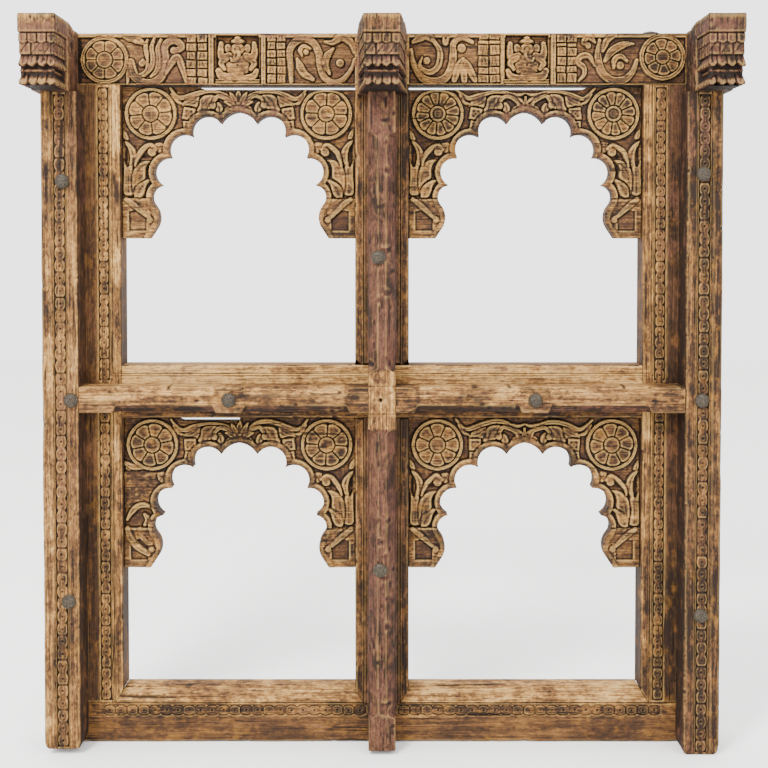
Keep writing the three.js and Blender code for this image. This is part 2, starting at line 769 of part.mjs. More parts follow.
function nailHead(radius, rise) {
  const profile = [[0, 0], [1, 0], [0.72, 0.72], [0, 1]];
  const points = profile.map(([out, up]) => new THREE.Vector2(out * radius, up * rise));
  return new THREE.LatheGeometry(points, nailSides);
}

function frontNail(x, z, depth) {
  const geometry = nailHead(nailRadius, nailRise);
  geometry.rotateX(Math.PI);
  geometry.translate(x, -(depth + joint), z);
  return solidOf(geometry);
}

function topNail(x) {
  const geometry = nailHead(topNailRadius, topNailRise);
  geometry.rotateX(Math.PI / 2);
  geometry.translate(x, -frameDepth / 2, headTop + joint);
  return solidOf(geometry);
}

// All pieces

addPiece('sill_rail', buildSill(), brownWood);
addPiece('left_stile', buildStile(-1), paleWood);
addPiece('right_stile', buildStile(1), paleWood);
addPiece('centre_mullion', buildMullion(), paleWood);
addPiece('transom_rail', buildTransom(), paleWood);
addPiece('head_rail', buildHead(), brownWood);
addPiece('transom_bar', buildBar(), paintedWood);
addPiece('centre_post', buildCentrePost(), paintedWood);
addPiece('left_post', buildSidePost(-1), brownWood);
addPiece('right_post', buildSidePost(1), brownWood);

const sideCapitalX = outerSide - sidePostWidth / 2 + sideCapitalOffset;
addPiece('left_capital', buildCapital(-sideCapitalX, sideCapitalBack), paintedWood);
addPiece('centre_capital', buildCapital(0, centreCapitalBack), paintedWood);
addPiece('right_capital', buildCapital(sideCapitalX, sideCapitalBack), paintedWood);

const lightMiddle = mullionSide + lightWidth / 2;
const lights = [
  { name: 'upper_left', middle: -lightMiddle, top: headBottom, petals: 8 },
  { name: 'upper_right', middle: lightMiddle, top: headBottom, petals: 12 },
  { name: 'lower_left', middle: -lightMiddle, top: -transomBelow, petals: 8 },
  { name: 'lower_right', middle: lightMiddle, top: -transomBelow, petals: 8 },
];
for (const light of lights) {
  addPiece(`${light.name}_arch_left_half`, buildArchHalf(light, -1, light.petals), brownWood);
  addPiece(`${light.name}_arch_right_half`, buildArchHalf(light, 1, light.petals), brownWood);
}

const sidePostMiddle = outerSide - sidePostWidth / 2;
const rightNailX = sidePostMiddle - nailInset / 2;
const upperNail = headBottom - nailBelowHead;
const lowerNail = sillTop + nailAboveSill;
const nails = [
  { name: 'left_post_upper_nail', at: [-sidePostMiddle + nailInset, upperNail], depth: postFront },
  { name: 'left_post_middle_nail', at: [-sidePostMiddle + 3 * nailInset, 0], depth: postFront },
  { name: 'left_post_lower_nail', at: [-sidePostMiddle + 2 * nailInset, lowerNail], depth: postFront },
  { name: 'right_post_upper_nail', at: [rightNailX, upperNail + nailStep], depth: postFront },
  { name: 'right_post_middle_nail', at: [rightNailX, 0], depth: postFront },
  { name: 'right_post_lower_nail', at: [rightNailX, lowerNail - 2 * nailStep], depth: postFront },
  { name: 'centre_post_upper_nail', at: [-nailInset, upperNail - centreNailDrop], depth: postFront },
  { name: 'centre_post_lower_nail', at: [-nailInset / 2, lowerNail + centreNailRise], depth: postFront },
  { name: 'left_bar_nail', at: [-padAt, 0], depth: barFront },
  { name: 'right_bar_nail', at: [padAt, 0], depth: barFront },
];
for (const { name, at, depth } of nails) addPiece(name, frontNail(at[0], at[1], depth), iron);
addPiece('head_top_nail', topNail(postInner - topNailFromPost), iron);

export default model;
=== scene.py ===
# A carved wooden window frame with four cusped arches, in old teak with remains of paint.
# The scene is in metres; shapes are worked out in millimetres as (across, depth, up), with
# depth measured forward from the flat back.
import math

import bpy
import numpy as np
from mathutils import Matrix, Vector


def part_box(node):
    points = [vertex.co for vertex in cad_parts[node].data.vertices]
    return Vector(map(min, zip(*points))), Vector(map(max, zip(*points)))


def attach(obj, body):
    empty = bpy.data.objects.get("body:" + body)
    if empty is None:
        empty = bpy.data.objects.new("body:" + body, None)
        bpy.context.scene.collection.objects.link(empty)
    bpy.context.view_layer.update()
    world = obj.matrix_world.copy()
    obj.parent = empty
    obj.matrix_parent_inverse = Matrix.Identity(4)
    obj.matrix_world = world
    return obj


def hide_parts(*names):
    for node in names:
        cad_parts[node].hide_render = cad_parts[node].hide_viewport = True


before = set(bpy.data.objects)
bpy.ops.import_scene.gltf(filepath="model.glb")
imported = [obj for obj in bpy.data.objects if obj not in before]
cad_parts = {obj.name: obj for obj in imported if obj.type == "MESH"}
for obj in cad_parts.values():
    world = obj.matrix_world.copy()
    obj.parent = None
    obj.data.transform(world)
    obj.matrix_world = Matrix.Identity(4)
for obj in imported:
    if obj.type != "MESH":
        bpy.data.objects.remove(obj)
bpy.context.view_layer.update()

bpy.ops.object.select_all(action='DESELECT')

# Sizes of the frame that several pieces share, in mm
frameSizes = {
    "jamb": 522.0, "mullionSide": 54.0, "outerSide": 664.0, "postInner": 593.0,
    "headTop": 725.0, "headBottom": 623.0, "transomTop": 63.0, "transomBottom": -44.0,
    "sillTop": -594.0, "sillBottom": -700.0, "sillFall": 10.0, "sillFallWidth": 26.0, "sillShoulder": -622.0,
    "fillet": 17.0, "face": 52.0, "postFront": 110.0, "postTop": 601.7,
    "leftPostBottom": -691.0, "centrePostBottom": -693.0, "rightPostBottom": -702.0,
}
size = frameSizes


# Small tools for shapes

def ripple(a, b, cell, seed):
    # smooth noise from -1 to 1; cell is its grain in mm along a and along b
    table = np.random.default_rng(seed).uniform(-1, 1, (64, 64))
    p, q = a / cell[0] + 4096, b / cell[1] + 4096
    i, j = np.floor(p).astype(int), np.floor(q).astype(int)
    u, v = p - i, q - j
    u, v = u * u * (3 - 2 * u), v * v * (3 - 2 * v)
    low = table[i % 64, j % 64] * (1 - u) + table[(i + 1) % 64, j % 64] * u
    high = table[i % 64, (j + 1) % 64] * (1 - u) + table[(i + 1) % 64, (j + 1) % 64] * u
    return low * (1 - v) + high * v


def easeIn(value):
    value = np.clip(value, 0, 1)
    return value * value * (3 - 2 * value)


def blurred(values, cells):
    # box blur along rows and columns
    for axis in (0, 1):
        pad = [(0, 0), (0, 0)]
        pad[axis] = (cells + 1, cells)
        total = np.cumsum(np.pad(values, pad, mode='edge'), axis=axis)
        span = 2 * cells + 1
        last = np.take(total, range(span, total.shape[axis]), axis)
        first = np.take(total, range(0, total.shape[axis] - span), axis)
        values = (last - first) / span
    return values


def stations(*spans):
    # places along a member: spans of (start, end, step)
    places = []
    for start, end, step in spans:
        count = max(1, int(round(abs(end - start) / step)))
        places.extend(np.linspace(start, end, count + 1))
    places = np.array(sorted(places))
    return places[np.concatenate([[True], np.diff(places) > 0.02])]


def smoothLine(points, steps=7):
    # a smooth curve through the points
    points = np.array(points, float)
    ends = np.vstack([2 * points[0] - points[1], points, 2 * points[-1] - points[-2]])
    line = []
    for i in range(1, len(ends) - 2):
        before, start, end, after = ends[i - 1:i + 3]
        for t in np.arange(steps) / steps:
            line.append(0.5 * (2 * start + (end - before) * t
                               + (2 * before - 5 * start + 4 * end - after) * t * t
                               + (3 * start - before - 3 * end + after) * t ** 3))
    return np.array(line + [points[-1]])


def alongLine(x, z, line):
    # distance to a line, and share of the way along it
    best, share = np.full(x.shape, 1e9), np.zeros(x.shape)
    lengths = np.hypot(*np.diff(line, axis=0).T)
    start = 0.0
    for (ax, az), (bx, bz), length in zip(line, line[1:], lengths):
        if length < 1e-9:
            continue
        t = np.clip(((x - ax) * (bx - ax) + (z - az) * (bz - az)) / length ** 2, 0, 1)
        dx, dz = x - ax - t * (bx - ax), z - az - t * (bz - az)
        distance = np.hypot(dx, dz)
        near = distance < best
        best = np.where(near, distance, best)
        share = np.where(near, start + t * length, share)
        start += length
    return best, share / start


# Carving tools: a field holds x, z and the height h over the face, in mm

def patchOf(field, low, high):
    inside = ((field["x"] >= low[0]) & (field["x"] <= high[0])
              & (field["z"] >= low[1]) & (field["z"] <= high[1]))
    rows, columns = np.flatnonzero(inside.any(axis=1)), np.flatnonzero(inside.any(axis=0))
    if not len(rows):
        return None
    return np.s_[rows[0]:rows[-1] + 1, columns[0]:columns[-1] + 1]


def raiseShape(field, patch, inside, level, soft, swell, reach, outline=1.6):
    # lifts what lies inside a shape, rounds its top and cuts a thin line round it
    h = field["h"][patch]
    outline = outline * (0.75 + 0.5 * ripple(field["x"][patch], field["z"][patch], (22, 22), 9))
    h = h - outline * np.exp(-((inside + 1.1) / 1.0) ** 2)
    floor = field["ground"]
    lift = easeIn(inside / soft + 0.35)
    crown = swell * np.sqrt(np.clip(1 - (1 - np.clip(inside / reach, 0, 1)) ** 2, 0, 1))
    target = floor + (level - swell - floor) * lift + crown
    field["h"][patch] = np.where(inside > -0.35 * soft, np.maximum(target, np.minimum(h, level)), h)


def carveRibbon(field, points, width, level=0.0, tips=(0.5, 0.5), veins=1, swell=1.6, soft=2.2):
    # a stem, scroll or leaf along a smooth line; tips are the widths at its ends as shares
    line = smoothLine(points)
    margin = width / 2 + 5
    patch = patchOf(field, line.min(axis=0) - margin, line.max(axis=0) + margin)
    if patch is None:
        return
    distance, share = alongLine(field["x"][patch], field["z"][patch], line)
    half = width / 2 * np.interp(share, [0, 0.3, 0.65, 1], [tips[0], 1, 0.95, tips[1]])
    inside = half - distance
    raiseShape(field, patch, inside, level, soft, swell, width / 2)
    fade = easeIn(share * 8) * easeIn((1 - share) * 6)
    h = field["h"][patch]
    if veins % 2:
        h = h - 1.5 * fade * np.exp(-(distance / 0.9) ** 2) * (inside > 0)
    if veins > 1:
        h = h - 1.2 * fade * np.exp(-((distance - half * 0.55) / 0.8) ** 2) * (inside > 1)
    field["h"][patch] = h


def carveBall(field, centre, radius, level=0.5):
    patch = patchOf(field, np.array(centre) - radius - 4, np.array(centre) + radius + 4)
    if patch is None:
        return
    distance = np.hypot(field["x"][patch] - centre[0], field["z"][patch] - centre[1])
    raiseShape(field, patch, radius - distance, level, 1.8, 3.2, radius)


def carveLump(field, centre, reach, level, swell=4.0):
    # an oval swelling, for a figure's body
    reach = np.array(reach, float)
    patch = patchOf(field, np.array(centre) - reach - 4, np.array(centre) + reach + 4)
    if patch is None:
        return
    u = (field["x"][patch] - centre[0]) / reach[0]
    v = (field["z"][patch] - centre[1]) / reach[1]
    inside = (1 - np.hypot(u, v)) * reach.min()
    raiseShape(field, patch, inside, level, 2.0, swell, reach.min())


def carveBlock(field, low, high, level=0.0, turn=0.0, swell=1.0):
    # a square-edged block, turned about its middle
    low, high = np.minimum(low, high), np.maximum(low, high)
    middle, half = (low + high) / 2, (high - low) / 2
    margin = half.max() * 0.5 + 5
    patch = patchOf(field, low - margin, high + margin)
    if patch is None:
        return
    dx, dz = field["x"][patch] - middle[0], field["z"][patch] - middle[1]
    u = dx * math.cos(turn) + dz * math.sin(turn)
    v = dz * math.cos(turn) - dx * math.sin(turn)
    inside = np.minimum(half[0] - np.abs(u), half[1] - np.abs(v))
    raiseShape(field, patch, inside, level, 1.6, swell, half.min())


def carveLine(field, points, depth=1.8, width=1.0):
    # a cut line
    line = smoothLine(points, 5)
    patch = patchOf(field, line.min(axis=0) - 4, line.max(axis=0) + 4)
    if patch is None:
        return
    distance = alongLine(field["x"][patch], field["z"][patch], line)[0]
    field["h"][patch] -= depth * np.exp(-(distance / width) ** 2)


def carveHollow(field, centre, reach, depth):
    # a scooped hollow
    reach = np.array(reach, float)
    patch = patchOf(field, np.array(centre) - reach * 1.6, np.array(centre) + reach * 1.6)
    if patch is None:
        return
    u = (field["x"][patch] - centre[0]) / reach[0]
    v = (field["z"][patch] - centre[1]) / reach[1]
    field["h"][patch] -= depth * np.exp(-(u * u + v * v) ** 1.5)


def carveRosette(field, centre, radius, petals, petalReach, heart, turn, level=0.0, ringInHeart=False):
    # a ring with a double line, petals parted by cuts, and a round heart
    patch = patchOf(field, np.array(centre) - radius - 4, np.array(centre) + radius + 4)
    dx, dz = field["x"][patch] - centre[0], field["z"][patch] - centre[1]
    r = np.hypot(dx, dz)
    h = field["h"][patch]
    floor = field["ground"] + 1.5
    ring = np.minimum(radius - r, r - petalReach - 0.8)
    angle = np.arctan2(dz, dx) - turn
    step = 2 * math.pi / petals
    offset = (angle + step / 2) % step - step / 2
    halfAngle = step / 2
    bulge = (petalReach - heart) * 0.2 * (np.abs(offset) / halfAngle) ** 3
    side = np.sin(halfAngle - np.abs(offset)) * r - 0.5
    petal = np.minimum(np.minimum(side, petalReach - bulge - r), r - heart - 0.9)
    hearted = heart - r
    disc = np.where(r < radius, floor, h)
    ringTop = floor + (level - floor) * easeIn(ring / 1.6 + 0.2)
    ringTop = ringTop - 1.5 * np.exp(-((r - (petalReach + radius) / 2 - 0.5) / 0.8) ** 2)
    disc = np.where(ring > -0.4, np.maximum(disc, ringTop), disc)
    width = petalReach * math.sin(halfAngle)
    dish = 1.1 * np.clip(petal / (0.6 * width), 0, 1)
    petalTop = floor + (level - 0.6 - floor) * easeIn(petal / 1.5 + 0.25) + 0.9 - dish
    disc = np.where(petal > -0.4, np.maximum(disc, petalTop), disc)
    heartTop = floor + (level - floor) * easeIn(hearted / 1.6 + 0.25)
    heartTop = heartTop + 1.2 * np.sqrt(np.clip(hearted / heart, 0, 1))
    if ringInHeart:
        heartTop = heartTop - 2.0 * np.exp(-((r - heart * 0.58) / 0.8) ** 2)
    disc = np.where(hearted > -0.4, np.maximum(disc, heartTop), disc)
    disc = disc - 2.2 * np.exp(-((r - radius - 1.0) / 0.9) ** 2)
    rim = np.where(r < radius + 0.3, disc, np.minimum(h, disc + 4))
    field["h"][patch] = np.where(r < radius + 3, rim, h)


def carveBeads(field, upright, middle, width, start, end, pitch, seed, wear=0.5, scallop=False):
    # barrel-shaped beads with a drilled dot, side by side in a channel, or cut round one by one
    along, across = (field["z"], field["x"]) if upright else (field["x"], field["z"])
    count = int(round((end - start) / pitch))
    step = (end - start) / count
    random = np.random.default_rng(seed)
    shift, shrink = random.uniform(-0.6, 0.6, (count, 2)), random.uniform(0.93, 1.0, count)
    sink = random.uniform(0, 1.0, count) ** 2 * 2.0 * wear
    index = np.clip(np.floor((along - start) / step), 0, count - 1).astype(int)
    u = along - start - (index + 0.5) * step
    joint = step / 2 - np.abs(u) + 0.1
    u, v = u - shift[index, 0] * 0.5, across - middle - shift[index, 1] * 0.6
    half = width / 2 * shrink[index] * (1 - 0.42 * np.minimum(np.abs(u) / (step / 2), 1.1) ** 2.4)
    inside = np.minimum(half - np.abs(v), joint)
    floor = -3.6
    bead = floor + (3.4 - sink[index]) * easeIn(inside / 1.3 + 0.3) + 0.5 * np.clip(inside / 8, 0, 1)
    bead = bead - 2.6 * np.exp(-((u * u + v * v) / 4.0) ** 2)
    aside = 3.6 if scallop else 0.7
    channel = (np.abs(across - middle) < width / 2 + aside) & (along > start) & (along < end)
    cut = np.minimum(field["h"], floor * (1 - easeIn((-inside - 0.3) / 1.6))) if scallop else floor
    field["h"] = np.where(channel, np.where(inside > -0.5, bead, cut), field["h"])


def lightEdge(x, z):
    # how far outside the nearest light a point of the frame lies
    s = size
    reach = np.full(np.shape(x), 1e9)
    aside = np.maximum(s["mullionSide"] - np.abs(x), np.abs(x) - s["jamb"])
    upper = (s["transomTop"], s["headBottom"])
    lower = (s["sillTop"] - s["sillFall"], s["transomBottom"])
    for bottom, top in (upper, lower):
        reach = np.minimum(reach, np.maximum(aside, np.maximum(bottom - z, z - top)))
    return reach


def cutLightLines(field):
    # the two fine lines that follow each light
    reach = lightEdge(field["x"], field["z"])
    for at, depth in ((size["fillet"] + 0.8, 2.0), (size["fillet"] + 5.2, 1.6)):
        field["h"] -= depth * np.exp(-((reach - at) / 0.95) ** 2)


# Making meshes

def gridPiece(name, points):
    # a grid primitive laid out on points[row, column] = (across, depth, up) in mm
    rows, columns = points.shape[:2]
    bpy.ops.object.select_all(action='DESELECT')
    bpy.ops.mesh.primitive_grid_add(x_subdivisions=columns - 1, y_subdivisions=rows - 1, size=2)
    piece = bpy.context.object
    piece.name = piece.data.name = name
    place = np.stack([points[..., 0], -points[..., 1], points[..., 2]], axis=-1) / 1000
    piece.data.vertices.foreach_set('co', place.astype(np.float32).ravel())
    return piece


def mark(piece, marks):
    # numbers on the vertices that the finishes read: wear, sunk, paint, tone and calm; wear and sunk drive
    # painted highlight and painted shade, and tone carries some painted shade
    for name, values in marks.items():
        attribute = piece.data.attributes.new(name, 'FLOAT', 'POINT')
        attribute.data.foreach_set('value', values.astype(np.float32).ravel())


def finishPiece(piece, node, material, angle=38):
    bpy.ops.object.select_all(action='DESELECT')
    piece.select_set(True)
    bpy.context.view_layer.objects.active = piece
    bpy.ops.object.shade_smooth_by_angle(angle=math.radians(angle))
    while piece.data.uv_layers:
        piece.data.uv_layers.remove(piece.data.uv_layers[0])
    piece.data.materials.clear()
    piece.data.materials.append(material)
    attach(piece, "root")
    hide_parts(node)
    return piece


def sleeve(name, points, marks):
    # a skin of points[station, loop] closed round the loop and at both ends
    closed = np.concatenate([points, points[:, :1]], axis=1)
    piece = gridPiece(name, closed)
    mark(piece, {key: np.concatenate([value, value[:, :1]], axis=1) for key, value in marks.items()})
    bpy.ops.object.mode_set(mode='EDIT')
    bpy.ops.mesh.select_all(action='SELECT')
    bpy.ops.mesh.remove_doubles(threshold=0.00001)
    bpy.ops.mesh.select_all(action='SELECT')
    bpy.ops.mesh.fill_holes(sides=0)
    bpy.ops.mesh.select_all(action='SELECT')
    bpy.ops.mesh.normals_make_consistent(inside=False)
    bpy.ops.object.mode_set(mode='OBJECT')
    return piece


def marksOf(h, paint, tone, cells=2, calm=0.0):
    # wear is the relief against its blurred self: above 0 it gives a painted highlight on ridges, below 0
    # painted shade in crevices; sunk gives painted shade on the ground
    fine = h - blurred(h, cells)
    return {"wear": np.clip(fine / 1.6, -1, 1), "sunk": np.clip(-h / 6, 0, 1),
            "paint": paint, "tone": tone, "calm": calm + 0.0 * h}


def wornEdges(field, low, high, upright, seed, reach=2.6):
    # rounds the two long edges of a face, more here and less there, with a few chips
    across, along = (field["x"], field["z"]) if upright else (field["z"], field["x"])
    for edge, sign, own in ((low, 1, 0), (high, -1, 7)):
        inward = (across - edge) * sign
        much = reach * (1 + 0.6 * ripple(along, along * 0, (55, 1), seed + own))
        chip = np.clip(ripple(along, along * 0, (16, 1), seed + own + 1) - 0.62, 0, 1) * 9
        much = much + chip
        field["h"] -= 0.8 * much * np.clip(1 - inward / much, 0, 1) ** 2


def weather(field, upright, seed):
    # grain ridges, slow waves and small dents of old hand-cut wood
    across, along = (field["x"], field["z"]) if upright else (field["z"], field["x"])
    grain = ripple(across, along, (4.5, 150), seed) * 0.22 + ripple(across, along, (9, 60), seed + 1) * 0.2
    wave = np.minimum(0, ripple(across, along, (40, 130), seed + 2)) * 0.8
    dents = np.clip(ripple(across, along, (7, 9), seed + 3) - 0.66, 0, 1) * 2.2
    field["h"] += grain + wave - dents


def sectionLoop(plan):
    # a loop round a member: over the face, down one side, along the back and up the other side
    across = plan["across"]
    back, front = plan["depths"]
    low, high = across[0], across[-1]
    sideDepths = np.linspace(front, back, 6)[1:]
    backAcross = np.linspace(high, low, 5)[1:-1]
    loopAcross = np.concatenate([across, np.full(5, high), backAcross, np.full(5, low)])
    loopDepth = np.concatenate([np.full(len(across), front), sideDepths, np.full(3, back),
                                sideDepths[::-1]])
    return loopAcross, loopDepth


def straightPiece(name, node, plan, relief, upright):
    # a member with a carved face, plain sides and a flat back; plan holds its sizes and finish
    across, along = plan["across"], plan["along"]
    back, front = plan["depths"]
    low, high = across[0], across[-1]
    count = len(across)
    loopAcross, loopDepth = sectionLoop(plan)
    a = np.tile(loopAcross, (len(along), 1))
    s = np.tile(along[:, None], (1, a.shape[1]))
    depth = np.tile(loopDepth, (len(along), 1))
    if "warp" in plan:
        s = plan["warp"](a, s)
    x, z = (a, s) if upright else (s, a)
    field = {"x": x[:, :count], "z": z[:, :count], "h": np.zeros((len(along), count)), "ground": -6.5}
    relief(field)
    wornEdges(field, low, high, upright, plan["seed"], plan.get("edge", 2.6))
    weather(field, upright, plan["seed"] + 20)
    field["h"] = np.minimum(field["h"], plan.get("ceiling", 0.0))
    depth[:, :count] += field["h"]
    h = np.zeros(depth.shape)
    h[:, :count] = field["h"]
    side = slice(count, depth.shape[1])
    sway = 0.45 * ripple(depth[:, side], s[:, side], (12, 160), plan["seed"] + 40) - 0.5
    sway = sway * easeIn((s[:, side] - s.min()) / 15)
    onSide = (loopDepth[side] > back + 1) & (loopDepth[side] < front - 1)
    a[:, side] += np.where(onSide, np.where(loopAcross[side] > (low + high) / 2, sway, -sway), 0)
    if "roundFoot" in plan:
        # the foot is worn round
        near = np.clip(1 - (s - s.min()) / plan["roundFoot"], 0, 1)
        draw = 1 - np.sqrt(1 - near ** 2)
        a = (low + high) / 2 + (a - (low + high) / 2) * (1 - 0.22 * draw)
        depth = depth - np.clip(depth - back - 20, 0, 99) * 0.12 * draw
    x, z = (a, s) if upright else (s, a)
    if "cut" in plan:
        depth = plan["cut"](x, z, depth)
    calm = plan["calm"](x, z) if "calm" in plan else 0.0
    marks = marksOf(h, plan["paint"](x, z), plan["tone"](x, z), calm=calm)
    marks["wear"][:, side] = 0.0
    marks["calm"][:, side] = 0.4
    # the sides of the member are darkened as painted shade
    marks["tone"][:, side] += plan.get("sideShade", 0.3)
    piece = sleeve(name, np.stack([x, depth, z], axis=-1), marks)
    return finishPiece(piece, node, plan["material"])


# Finishes

def linear(code):
    parts = [int(code[i:i + 2], 16) / 255 for i in (1, 3, 5)]
    return (*[p / 12.92 if p <= 0.04045 else ((p + 0.055) / 1.055) ** 2.4 for p in parts], 1.0)


def addNode(tree, kind, inputs=None, stops=None, **settings):
    node = tree.nodes.new('ShaderNode' + kind)
    for key, value in settings.items():
        setattr(node, key, value)
    for key, value in (inputs or {}).items():
        if isinstance(value, bpy.types.NodeSocket):
            tree.links.new(value, node.inputs[key])
        else:
            node.inputs[key].default_value = value
    if stops:
        ramp = node.color_ramp
        while len(ramp.elements) < len(stops):
            ramp.elements.new(0.5)
        for element, (place, colour) in zip(ramp.elements, stops):
            element.position = place
            element.color = linear(colour)
    return node


def reckon(tree, operation, *values):
    # the result of a Math node
    return addNode(tree, 'Math', dict(enumerate(values)), operation=operation).outputs[0]


def remap(tree, value, *bounds):
    # the result of a Map Range node: from two values to two others
    return addNode(tree, 'MapRange', dict(enumerate((value, *bounds)))).outputs[0]


def mixed(tree, factor, under, over):
    # the colour sockets of a Mix node are 6 and 7, and its colour result is 2
    return addNode(tree, 'Mix', {0: factor, 6: under, 7: over}, data_type='RGBA').outputs[2]


def newMaterial(name):
    material = bpy.data.materials.new(name)
    material.use_nodes = True
    material.node_tree.nodes.clear()
    return material, material.node_tree


# Old teak, hand-carved and sun-dried: straight open grain, golden where it is rubbed, with a painted
# highlight on ridges, and brown to nearly black as painted shade on the sunk ground and in crevices, with
# remains of a maroon distemper.
teakLook = {
    # grain sizes in mm across and along the grain, then detail, roughness and distortion
    "layers": {
        "grain": (3.0, 95, 5.0, 0.65, 0.35), "bands": (12, 170, 3.0, 0.55, 0.2),
        "patch": (125, 150, 4.0, 0.6, 0.6), "stain": (22, 30, 4.0, 0.7, 0.0),
        "fleck": (5, 11, 3.0, 0.7, 0.5),
        "crack": (8.3, 143, 2.0, 0.5, 0.3), "pore": (2.8, 42, 1.0, 0.5, 0.0),
    },
    "start": 0.9, "swing": {"grain": 1.9, "bands": 1.0, "patch": 1.6, "stain": 1.3, "fleck": 1.4},
    "shades": [(0.0, "#1E120A"), (0.28, "#412A17"), (0.55, "#674624"), (0.8, "#8C6637"), (1.0, "#AA8752")],
    "paintShades": [(0.35, "#3A221B"), (0.7, "#5E3C2F")],
    "paintLeft": (1.86, 2.1, 0.85),
    # where stains and rubbing lie, and where the painted highlight and painted shade go: what drives each,
    # from and to, how much, and its colour
    # ridges (wear above 0) are lightened: partly real rubbing, partly a painted highlight
    "ochre": ("stain", 0.54, 0.75, 0.4, "#8A5E1C"), "ridgeRubAndHighlight": ("wear", 0.1, 0.9, 0.6, "#A9884F"),
    # the sunk ground and the crevices (wear below 0) are darkened as painted shade
    "ground": ("sunk", 0.3, 1.2, 0.65, "#352013"), "creviceShade": ("wear", -0.15, -0.8, 0.93, "#0E0704"),
    "cracks": ("crack", 0.345, 0.3, 0.85, "#110905"), "pores": ("pore", 0.42, 0.3, 0.5, "#26170D"),
}


def teak(name, upright, look):
    material, tree = newMaterial(name)
    place = addNode(tree, 'TexCoord').outputs['Object']
    read = {key: addNode(tree, 'Attribute', attribute_name=key).outputs['Fac']
            for key in ("wear", "sunk", "paint", "tone", "calm")}
    for key, (across, along, detail, roughness, bend) in look["layers"].items():
        fine, slow = 1000 / across, 1000 / along
        scale = (fine, fine, slow) if upright else (slow, fine, fine)
        mapped = addNode(tree, 'Mapping', {'Vector': place, 'Scale': scale}).outputs[0]
        read[key] = addNode(tree, 'TexNoise', {'Vector': mapped, 'Scale': 1.0, 'Detail': detail,
                                               'Roughness': roughness, 'Distortion': bend}).outputs['Fac']
    swing = 0.0
    for key, strength in look["swing"].items():
        centred = reckon(tree, 'SUBTRACT', read[key], 0.5)
        swing = reckon(tree, 'MULTIPLY_ADD', centred, strength, swing)
    lively = reckon(tree, 'SUBTRACT', 1.0, read["calm"])
    shade = reckon(tree, 'SUBTRACT', look["start"], read["tone"])
    shade = reckon(tree, 'MULTIPLY_ADD', swing, lively, shade)
    colour = addNode(tree, 'ValToRGB', {'Fac': shade}, look["shades"]).outputs['Color']

    def lay(colour, key):
        source, low, high, amount, over = look[key]
        factor = remap(tree, read[source], low, high, 0.0, amount)
        return mixed(tree, factor, colour, linear(over)), factor

    colour = lay(colour, "ochre")[0]
    # paint that is left, worn off along the grain
    left = read["paint"]
    for key in ("stain", "grain", "patch"):
        left = reckon(tree, 'ADD', left, read[key])
    low, high, amount = look["paintLeft"]
    left = remap(tree, left, low, high, 0.0, amount)
    paint = addNode(tree, 'ValToRGB', {'Fac': read["fleck"]}, look["paintShades"]).outputs['Color']
    colour = mixed(tree, left, colour, paint)
    # painted highlight on ridges, painted shade on the sunk ground and in crevices
    for key in ("ridgeRubAndHighlight", "ground", "creviceShade"):
        colour = lay(colour, key)[0]
    colour, crack = lay(colour, "cracks")
    colour, pore = lay(colour, "pores")
    # the grain stands up a little, cracks and pores are cut in
    rise = reckon(tree, 'SUBTRACT', read["grain"], crack)
    rise = reckon(tree, 'MULTIPLY_ADD', read["fleck"], 0.6, rise)
    rise = reckon(tree, 'MULTIPLY_ADD', pore, -0.5, rise)
    bump = addNode(tree, 'Bump', {'Height': rise, 'Strength': 0.8, 'Distance': 0.0013}).outputs['Normal']
    rough = remap(tree, read["stain"], 0.3, 0.7, 0.66, 0.86)
    shader = addNode(tree, 'BsdfPrincipled', {'Base Color': colour, 'Roughness': rough, 'Normal': bump,
                                              'IOR': 1.5, 'Specular IOR Level': 0.16})
    addNode(tree, 'OutputMaterial', {'Surface': shader.outputs[0]})
    return material


teakUpright = teak("old carved teak, grain upright", True, teakLook)
teakLevel = teak("old carved teak, grain level", False, teakLook)


# Forged iron, rusted: grey-brown with darker scale in patches of about 3 mm
ironLook = {"scale": 330.0, "shades": [(0.3, "#17120D"), (0.5, "#2D261C"), (0.68, "#483E31")]}


def rustedIron(name, look):
    material, tree = newMaterial(name)
    place = addNode(tree, 'TexCoord').outputs['Object']
    scale = addNode(tree, 'TexNoise', {'Vector': place, 'Scale': look["scale"], 'Detail': 4.0,
                                       'Roughness': 0.65}).outputs['Fac']
    colour = addNode(tree, 'ValToRGB', {'Fac': scale}, look["shades"]).outputs['Color']
    bump = addNode(tree, 'Bump', {'Height': scale, 'Strength': 0.7, 'Distance': 0.0009}).outputs['Normal']
    rough = remap(tree, scale, 0.3, 0.7, 0.75, 0.5)
    shader = addNode(tree, 'BsdfPrincipled', {'Base Color': colour, 'Roughness': rough, 'Normal': bump,
                                              'Specular IOR Level': 0.25})
    addNode(tree, 'OutputMaterial', {'Surface': shader.outputs[0]})
    return material


ironFinish = rustedIron("forged iron, rusted", ironLook)
print("finishes made")


# Frame members

def mitredFoot(bottomAt, top):
    # moves the foot of a member to a bottom edge that changes across it
    def warp(across, along):
        lowest = along.min()
        share = (along - lowest) / (along.max() - lowest)
        bottom = bottomAt(across)
        return bottom + share * (top - bottom)
    return warp


